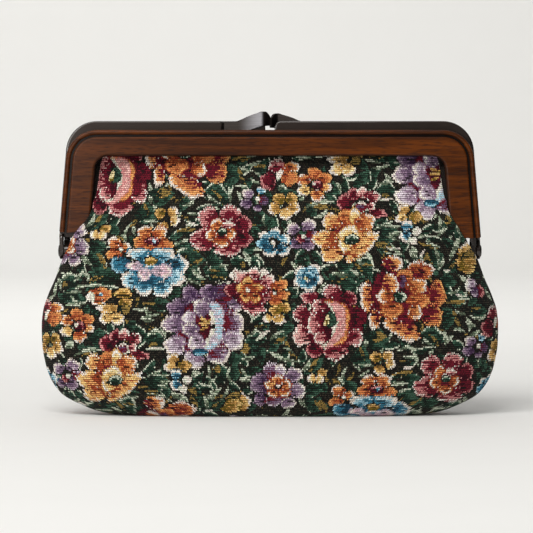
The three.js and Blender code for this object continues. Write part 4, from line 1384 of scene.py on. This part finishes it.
def rim_faces(outer, inner):
    """Faces that close the cloth's edge, from the grids of outer and inner point numbers: each joins one
    lining edge to the outer edges beside it."""
    sides = (
        (outer[0], inner[0], 1),
        (outer[-1], inner[-1], -1),
        (outer[:, 0], inner[:, 0], -1),
        (outer[:, -1], inner[:, -1], 1),
    )
    faces = []
    for edge, lining, order in sides:
        starts = np.arange(len(lining) - 1)[:, None] * LINING_STRIDE
        spans = edge[starts + np.arange(LINING_STRIDE + 1)]
        ring = np.column_stack([spans, lining[1:], lining[:-1]])
        faces += ring[:, ::order].tolist()
    return faces


def stitch_noise(across, down, seed):
    """An even random value from 0 to 1 for each stitch, the same on every run."""
    # Large odd numbers mix the bits of the three whole numbers
    mixed = (across * 374761393 + down * 668265263 + seed * 2246822519) & 0xFFFFFFFF
    mixed = ((mixed ^ (mixed >> 13)) * 1274126177) & 0xFFFFFFFF
    return ((mixed ^ (mixed >> 16)) & 0xFFFF) / 65535.0


class Chart:
    """The stitches of one panel: their places in chart steps, the yarn on top of each and the yarn below.

    Each stitch also has random values that are the same on every run: comb, the teeth of neighbouring
    warps; step, the teeth of neighbouring wefts; grain, its own shade; and streak, which a short run of
    stitches along the weft shares.
    """

    def __init__(self, x, y, across, down):
        self.x, self.y = x, y
        self.comb = 1.3 * (across % 2) - 0.65 + 1.4 * (stitch_noise(across, down // 3, 1) - 0.5)
        self.step = 2 * stitch_noise(across // 3, down, 2) - 1
        self.grain = stitch_noise(across, down, 3) - 0.5
        self.streak = stitch_noise((across + 5 * down) // 6, down, 5) - 0.5
        flecks = np.array([YARN_NAMES.index(name) for name in FLECK_YARNS])
        self.yarn = flecks[np.digitize(stitch_noise(across, down, 4), FLECK_LEVELS)]
        self.under = np.full(len(x), GROUND)
        self.worked = np.zeros(len(x), bool)

    def near(self, place, reach):
        """Numbers of the stitches within reach of a place."""
        return np.flatnonzero((np.abs(self.x - place[0]) < reach) & (np.abs(self.y - place[1]) < reach))

    def paint(self, near, place, shape, leaf):
        """Works one petal or leaf into the stitches.

        A petal is an ellipse with a wavy edge, and a leaf a bent and pointed one. depth is how many steps a
        stitch lies inside the edge, and lean runs from -1 on the shaded side to 1 on the lit side. The rim
        and the lit yarn follow the lit edge, with teeth along the warp above and below and along the weft
        at the sides. The shaded yarn lies across from it. Short streaks of the next darker, lighter or
        ground yarn run along the weft, and single ground stitches break up slim leaves. A dark line parts a
        petal from what lies below it.
        """
        x, y, half_x, half_y, turn, shading, hour = shape
        *names, rim_steps, lit_share = SHADINGS[shading]
        top = np.array([YARN_NAMES.index(name) for name in names])
        if hour:
            lit = math.radians(30 * hour - 90)
        else:
            lit = math.radians(turn - 90) if leaf else math.atan2(y, x)
        size = min(half_x, half_y)

        # Place in the shape: u along it and v across it, both 1 at its edge
        dx = self.x[near] - place[0] - x
        dy = self.y[near] - place[1] - y
        c, s = math.cos(math.radians(turn)), math.sin(math.radians(turn))
        u = (dx * c + dy * s) / half_x
        v = (dy * c - dx * s) / half_y
        if leaf:
            bend = 0.3 * half_x / half_y * math.sin(5 * half_x + turn)
            v = (v + bend * (u * u - 0.4)) / np.maximum(1 - 0.75 * u * u, 0.15)

        # Teeth, depth inside the wavy edge and lean to the lit side
        upright = dy * dy / (dx * dx + dy * dy + 0.1)
        tooth = upright * self.comb[near] + (1 - upright) * self.step[near]
        tooth *= min(1, size / 7) * (0.6 if leaf else 1)
        around = np.arctan2(v, u)
        phase = 1.7 * x + 2.3 * y + half_x
        wave = 0.06 * np.sin(3 * around + phase) + 0.05 * np.sin(5 * around - 2 * phase)
        depth = (1 - np.hypot(u, v) + wave) * size
        edge = depth + 0.9 * tooth
        span = math.hypot(half_x * math.cos(lit), half_y * math.sin(lit))
        lean = (dx * math.cos(lit) + dy * math.sin(lit)) / span

        # Tones: 0 is shaded, 1 the middle, 2 lit and 3 the rim
        rim_width = rim_steps * np.clip((lean + 0.05) / 0.5, 0, 1)
        lit_width = rim_width + (0.8 + lit_share * size) * np.clip((lean + 0.55) / 0.9, 0, 1)
        streak, grain = self.streak[near], self.grain[near]
        tone = np.where(lean + 0.6 * streak + 0.3 * grain < -0.3, 0, 1)
        tone = np.where(depth + 2.6 * tooth + 1.5 * streak < lit_width, 2, tone)
        tone = np.where(streak > 0.25, np.maximum(tone - 1, 0), tone)
        tone = np.where(streak < -0.36, np.minimum(tone + 1, 2), tone)
        if size > RIMMED_SIZE:
            tone = np.where(depth + 1.7 * tooth < rim_width, 3, tone)
        bare = (streak > 0.36) & (lean < 0.1) & (depth > 1.5)
        if leaf and size < SLIM_LEAF:
            bare |= grain > 0.38

        # The dark line round a petal, then the shape itself
        if not leaf and size > RIMMED_SIZE:
            line = near[(edge <= 0) & (edge > -1.1)]
            self.yarn[line] = np.where(self.worked[line], top[0], GROUND)
            self.under[line] = self.yarn[line]
        inside = edge > 0
        below = top[[0, 0, 1, 3]]
        self.yarn[near[inside]] = top[tone[inside]]
        self.under[near[inside]] = below[tone[inside]]
        self.yarn[near[inside & bare]] = GROUND
        self.worked[near[inside]] = not leaf


def chart_places(sheet):
    """Chart places of all stitches, x to the right and y down, in steps.

    Over most of the panel they are the places seen from the front. Towards the sides and the base, where
    the cloth turns away, they go over to the length along the cloth.
    """
    middle = (sheet[:-1, :-1] + sheet[1:, 1:]) / 2
    run = np.diff(middle, axis=1, prepend=middle[:, :1])
    share = np.abs(middle[:, :, 0]) / np.abs(middle[:, :, 0]).max(axis=1, keepdims=True)
    turning = np.clip((share - SIDE_TURN) / SIDE_TURN_SPAN, 0, 1)
    x = np.cumsum(run[:, :, 0] + turning * (np.linalg.norm(run, axis=2) - run[:, :, 0]), axis=1)
    x -= x[:, STITCHES_ACROSS // 2, None]
    centre = middle[:, STITCHES_ACROSS // 2]
    fall = np.diff(centre, axis=0, prepend=centre[:1])
    turning = np.clip((BASE_TURN - centre[:, 2]) / BASE_TURN_SPAN, 0, 1)
    y = np.cumsum(-fall[:, 2] + turning * (np.linalg.norm(fall, axis=1) + fall[:, 2]))
    y -= np.interp(-CHART_MIDDLE, -centre[:, 2], y)
    return x / CHART_STEP, np.broadcast_to(y[:, None] / CHART_STEP, x.shape)


def sprigs():
    """The small leaves that fill the ground: one in each square, with a random place, turn and kind."""
    column, row = np.meshgrid(np.arange(*SPRIG_COLUMNS), np.arange(*SPRIG_ROWS))
    x = SPRIG_SPACING * (column + stitch_noise(column, row, 11))
    y = SPRIG_SPACING * (row + stitch_noise(column, row, 12))
    turn = 180 * stitch_noise(column, row, 13)
    kind = (SPRIG_SHARE * stitch_noise(column, row, 14)).astype(int)
    for leaf_x, leaf_y, leaf_turn, leaf_kind in zip(x.ravel(), y.ravel(), turn.ravel(), kind.ravel()):
        half_length, half_width, shading = SPRIG_KINDS[leaf_kind]
        yield leaf_x, leaf_y, half_length, half_width, leaf_turn, shading


def chart_panel(sheet, front):
    """Yarns and shade of all stitches of a panel, from the sprigs, leaves and blooms and their repeats."""
    x, y = chart_places(sheet)
    rows, columns = np.indices(x.shape)
    cloth = Chart(x.ravel(), y.ravel(), columns.ravel(), rows.ravel())
    shift = (0, 0) if front else BACK_SHIFT

    def repeats(place, reach):
        """Each repeat's place on this panel, with the stitches near it."""
        for repeat in REPEATS:
            spot = np.array(place) + repeat + shift
            near = cloth.near(spot, reach)
            if len(near):
                yield spot, near

    for *place, half_length, half_width, turn, shading in sprigs():
        near = cloth.near(place, half_length + SPRIG_MARGIN)
        cloth.paint(near, place, (0, 0, half_length, half_width, turn, shading, 0), leaf=True)
    for leaf in LEAVES:
        for spot, near in repeats(leaf[:2], leaf[2] + LEAF_MARGIN):
            cloth.paint(near, spot, (0, 0, *leaf[2:]), leaf=True)
    for place, petals in BLOOMS.values():
        for spot, near in repeats(place, BLOOM_REACH):
            for petal in petals:
                cloth.paint(near, spot, petal, leaf=False)
    return [part.reshape(x.shape) for part in (cloth.yarn, cloth.under, cloth.grain)]


def stitch_colours(yarn, grain):
    """sRGB colours of the stitches: each yarn's own, a little lighter or darker from stitch to stitch."""
    shades = np.array([hex_parts(code) for code in YARNS.values()])
    return np.clip(shades[yarn] * (1 + YARN_VARIATION * grain[..., None]), 0, 1)


def colour_stitches(mesh, layer, colours):
    """Writes a colour layer: one flat colour for each stitch of the outer face, which comes first in the
    mesh, and the cloth's plain wrong side everywhere else."""
    stitches = np.repeat(colours.reshape(-1, 3), 4, axis=0)
    plain = np.tile(hex_parts(WRONG_SIDE), (len(mesh.loops) - len(stitches), 1))
    shown = np.column_stack([np.vstack([stitches, plain]), np.ones(len(mesh.loops))])
    corners = mesh.color_attributes.new(layer, "BYTE_COLOR", "CORNER").data
    corners.foreach_set("color_srgb", shown.astype(np.float32).ravel())


def measure_cloth(mesh, across, down):
    """Writes the "cloth_mm" map: each point's way across and down the cloth in mm, alike on both faces."""
    way = np.stack([across, down], axis=2)
    way = np.vstack([way.reshape(-1, 2), way[::LINING_STRIDE, ::LINING_STRIDE].reshape(-1, 2)])
    vertex = np.empty(len(mesh.loops), np.int32)
    mesh.loops.foreach_get("vertex_index", vertex)
    corners = mesh.uv_layers.new(name="cloth_mm").data
    corners.foreach_set("uv", way[vertex].astype(np.float32).ravel())


def tapestry_panel(name, material, settings, front):
    """One cloth panel: the charted outer face, a plainer inner face and the closed edge between them."""
    sheet, across, down, rim = panel_sheet(settings.slack)
    lining = lining_sheet(sheet, rim, settings.wall)
    outer = np.arange(across.size).reshape(across.shape)
    inner = outer.size + np.arange(lining[..., 0].size).reshape(lining.shape[:2])
    faces = grid_quads(*outer.shape).tolist()
    faces += grid_quads(*inner.shape, start=outer.size)[:, ::-1].tolist()
    faces += rim_faces(outer, inner)
    points = np.vstack([sheet.reshape(-1, 3), lining.reshape(-1, 3)])
    if not front:
        points = turned_back(points)
    piece = add_piece(name, points, faces, material, sharp=60)
    yarn, under, grain = chart_panel(sheet, front)
    for layer, chosen in (("yarn", yarn), ("under", under)):
        # Turned edge strips all in black ground yarn: a dark line at the seams, and painted shade in the
        # gap beside the trim
        chosen[:, :STRIP_STITCHES] = GROUND
        chosen[:, -STRIP_STITCHES:] = GROUND
        colour_stitches(piece.data, layer, stitch_colours(chosen, grain))
    measure_cloth(piece.data, across, down)
    return piece


def paper_sweep():
    """Floor and backdrop in one sheet: a floor, a quarter circle behind it and a wall, carried along X."""
    bend = np.linspace(0, math.pi / 2, 17)
    wall = PAPER_BEND_START + PAPER_BEND
    y = np.concatenate([[PAPER_FRONT], PAPER_BEND_START + PAPER_BEND * np.sin(bend), [wall]])
    z = np.concatenate([[0.0], PAPER_BEND * (1 - np.cos(bend)), [PAPER_TOP]])
    x = np.array([-PAPER_HALF_WIDTH, PAPER_HALF_WIDTH])
    points = np.stack(np.broadcast_arrays(x[:, None], y[None, :], z[None, :]), axis=2)
    return points.reshape(-1, 3), grid_quads(2, len(y))[:, ::-1].tolist()


def add_lights(scene, settings):
    """Puts up the square soft lights, each with its own power."""
    for name, size, place, turn in LIGHTS:
        light = bpy.data.lights.new(name, "AREA")
        light.size = size
        light.energy = getattr(settings, name)
        light.color = linear(LAMP_COLOUR)[:3]
        lamp = bpy.data.objects.new(name, light)
        lamp.location = place
        lamp.rotation_euler = [math.radians(angle) for angle in turn]
        scene.collection.objects.link(lamp)


def light_room(scene, fill):
    """Lights the surroundings, brightest towards one side of the ceiling and dim on the other side."""
    world = bpy.data.worlds.new("studio")
    world.use_nodes = True
    tree = world.node_tree
    way = add_node(tree, "ShaderNodeTexCoord")
    facing = add_node(tree, "ShaderNodeVectorMath", {
        0: way.outputs["Generated"], 1: ROOM_BRIGHT_WAY}, operation="DOT_PRODUCT")
    strength = add_node(tree, "ShaderNodeMapRange", {
        "Value": facing.outputs["Value"], "From Min": 0.0, "From Max": 0.8,
        "To Min": ROOM_DARK_SHARE * fill, "To Max": fill}, interpolation_type="SMOOTHSTEP")
    sky = tree.nodes["Background"]
    sky.inputs["Color"].default_value = linear(ROOM_COLOUR)
    tree.links.new(strength.outputs["Result"], sky.inputs["Strength"])
    scene.world = world


def add_camera(scene, settings):
    """Sets the camera in front of the bag, looking a little down at the middle of the pouch."""
    lens = bpy.data.cameras.new("camera")
    lens.lens = lens.sensor_width * settings.distance / settings.view_width
    camera = bpy.data.objects.new("camera", lens)
    camera.location = (
        CAMERA_SIDE * MM,
        -TRIM_FRONT * MM - settings.distance * math.cos(settings.tilt),
        CHART_MIDDLE * MM + settings.distance * math.sin(settings.tilt),
    )
    camera.rotation_euler = (math.radians(90) - settings.tilt, 0, 0)
    scene.collection.objects.link(camera)
    scene.camera = camera


class CLUTCH_OT_steel_halves(bpy.types.Operator):
    """Makes the two steel halves of the snap frame."""

    bl_idname = "clutch.steel_halves"
    bl_label = "Steel Halves"

    def execute(self, context):
        material = bronzed_steel()
        points, faces = steel_half(context.scene.clutch_frame.edge_round)
        for side, place in (("front", points), ("back", turned_back(points))):
            piece = add_piece(f"steel_half_{side}", place, faces, material)
            seat(piece, f"steel_frame_{side}")
        return {"FINISHED"}


class CLUTCH_OT_wood_trims(bpy.types.Operator):
    """Makes the moulded wooden trim of both halves."""

    bl_idname = "clutch.wood_trims"
    bl_label = "Wood Trims"

    def execute(self, context):
        material = walnut(context.scene.clutch_frame.wood_grain)
        points, faces, shade_painted = wood_trim()
        for side, place in (("front", points), ("back", turned_back(points))):
            piece = add_piece(f"trim_{side}", place, faces, material, sharp=50)
            # Each point's painted shade, which the walnut material reads
            stain = piece.data.attributes.new("stain", "FLOAT", "POINT")
            stain.data.foreach_set("value", shade_painted.astype(np.float32))
            seat(piece, f"wood_trim_{side}")
        return {"FINISHED"}


class CLUTCH_OT_clasp_tongues(bpy.types.Operator):
    """Makes the two sprung clasp tongues."""

    bl_idname = "clutch.clasp_tongues"
    bl_label = "Clasp Tongues"

    def execute(self, context):
        material = brushed_clasp()
        points, faces = clasp_tongue()
        lower = points.copy()
        lower[:, 2] -= BACK_TONGUE_DROP * np.clip(1 + points[:, 0] / -TONGUE_ROWS[0, 0], 0, 1)
        for side, place in (("front", points), ("back", turned_back(lower))):
            piece = add_piece(f"tongue_{side}", place, faces, material)
            seat(piece, f"clasp_tongue_{side}")
        return {"FINISHED"}


class CLUTCH_OT_hinge_rivets(bpy.types.Operator):
    """Makes the rivets of the two hinges."""

    bl_idname = "clutch.hinge_rivets"
    bl_label = "Hinge Rivets"

    def execute(self, context):
        material = bpy.data.materials["bronzed_steel"]
        points, faces = hinge_rivet()
        for side, place in (("right", points), ("left", turned_back(points))):
            piece = add_piece(f"rivet_{side}", place, faces, material)
            seat(piece, f"hinge_rivet_{side}")
        return {"FINISHED"}


class CLUTCH_OT_tapestry_panels(bpy.types.Operator):
    """Makes the two tapestry walls of the pouch."""

    bl_idname = "clutch.tapestry_panels"
    bl_label = "Tapestry Panels"

    def execute(self, context):
        settings = context.scene.clutch_cloth
        material = tapestry(settings.relief)
        for side in ("front", "back"):
            piece = tapestry_panel(f"tapestry_{side}", material, settings, side == "front")
            seat(piece, f"{side}_panel")
        return {"FINISHED"}


class CLUTCH_OT_stage(bpy.types.Operator):
    """Makes the paper sweep, the lights and the camera."""

    bl_idname = "clutch.stage"
    bl_label = "Stage"

    def execute(self, context):
        scene = context.scene
        settings = scene.clutch_stage
        sweep_points, sweep_faces = paper_sweep()
        paper = add_piece("paper_sweep", sweep_points, sweep_faces, seamless_paper())
        add_lights(scene, settings)
        light_room(scene, settings.fill)
        scene.view_settings.view_transform = "Standard"
        add_camera(scene, settings)
        return {"FINISHED"}


class CLUTCH_PT_sidebar(bpy.types.Panel):
    """Lists the bag's pieces and settings."""

    bl_label = "Frame Clutch Bag"
    bl_idname = "CLUTCH_PT_sidebar"
    bl_space_type = "VIEW_3D"
    bl_region_type = "UI"
    bl_category = "Clutch"

    def draw(self, context):
        for operator in OPERATORS:
            self.layout.operator(operator.bl_idname)
        for name, group in SETTINGS.items():
            for setting in group.__annotations__:
                self.layout.prop(getattr(context.scene, name), setting)


OPERATORS = (
    CLUTCH_OT_steel_halves,
    CLUTCH_OT_wood_trims,
    CLUTCH_OT_clasp_tongues,
    CLUTCH_OT_hinge_rivets,
    CLUTCH_OT_tapestry_panels,
    CLUTCH_OT_stage,
)
SETTINGS = {
    "clutch_cloth": ClothSettings,
    "clutch_frame": FrameSettings,
    "clutch_stage": StageSettings,
}


def register():
    """Adds the settings, the operators and the panel."""
    for kind in (*SETTINGS.values(), *OPERATORS, CLUTCH_PT_sidebar):
        bpy.utils.register_class(kind)
    for name, group in SETTINGS.items():
        setattr(bpy.types.Scene, name, bpy.props.PointerProperty(type=group))


def unregister():
    """Takes away what register adds."""
    for name in SETTINGS:
        delattr(bpy.types.Scene, name)
    for kind in (CLUTCH_PT_sidebar, *reversed(OPERATORS), *SETTINGS.values()):
        bpy.utils.unregister_class(kind)


def main():
    """Builds all pieces and the stage."""
    register()
    bpy.ops.clutch.steel_halves()
    bpy.ops.clutch.wood_trims()
    bpy.ops.clutch.clasp_tongues()
    bpy.ops.clutch.hinge_rivets()
    bpy.ops.clutch.tapestry_panels()
    bpy.ops.clutch.stage()


if __name__ == "__main__":
    main()
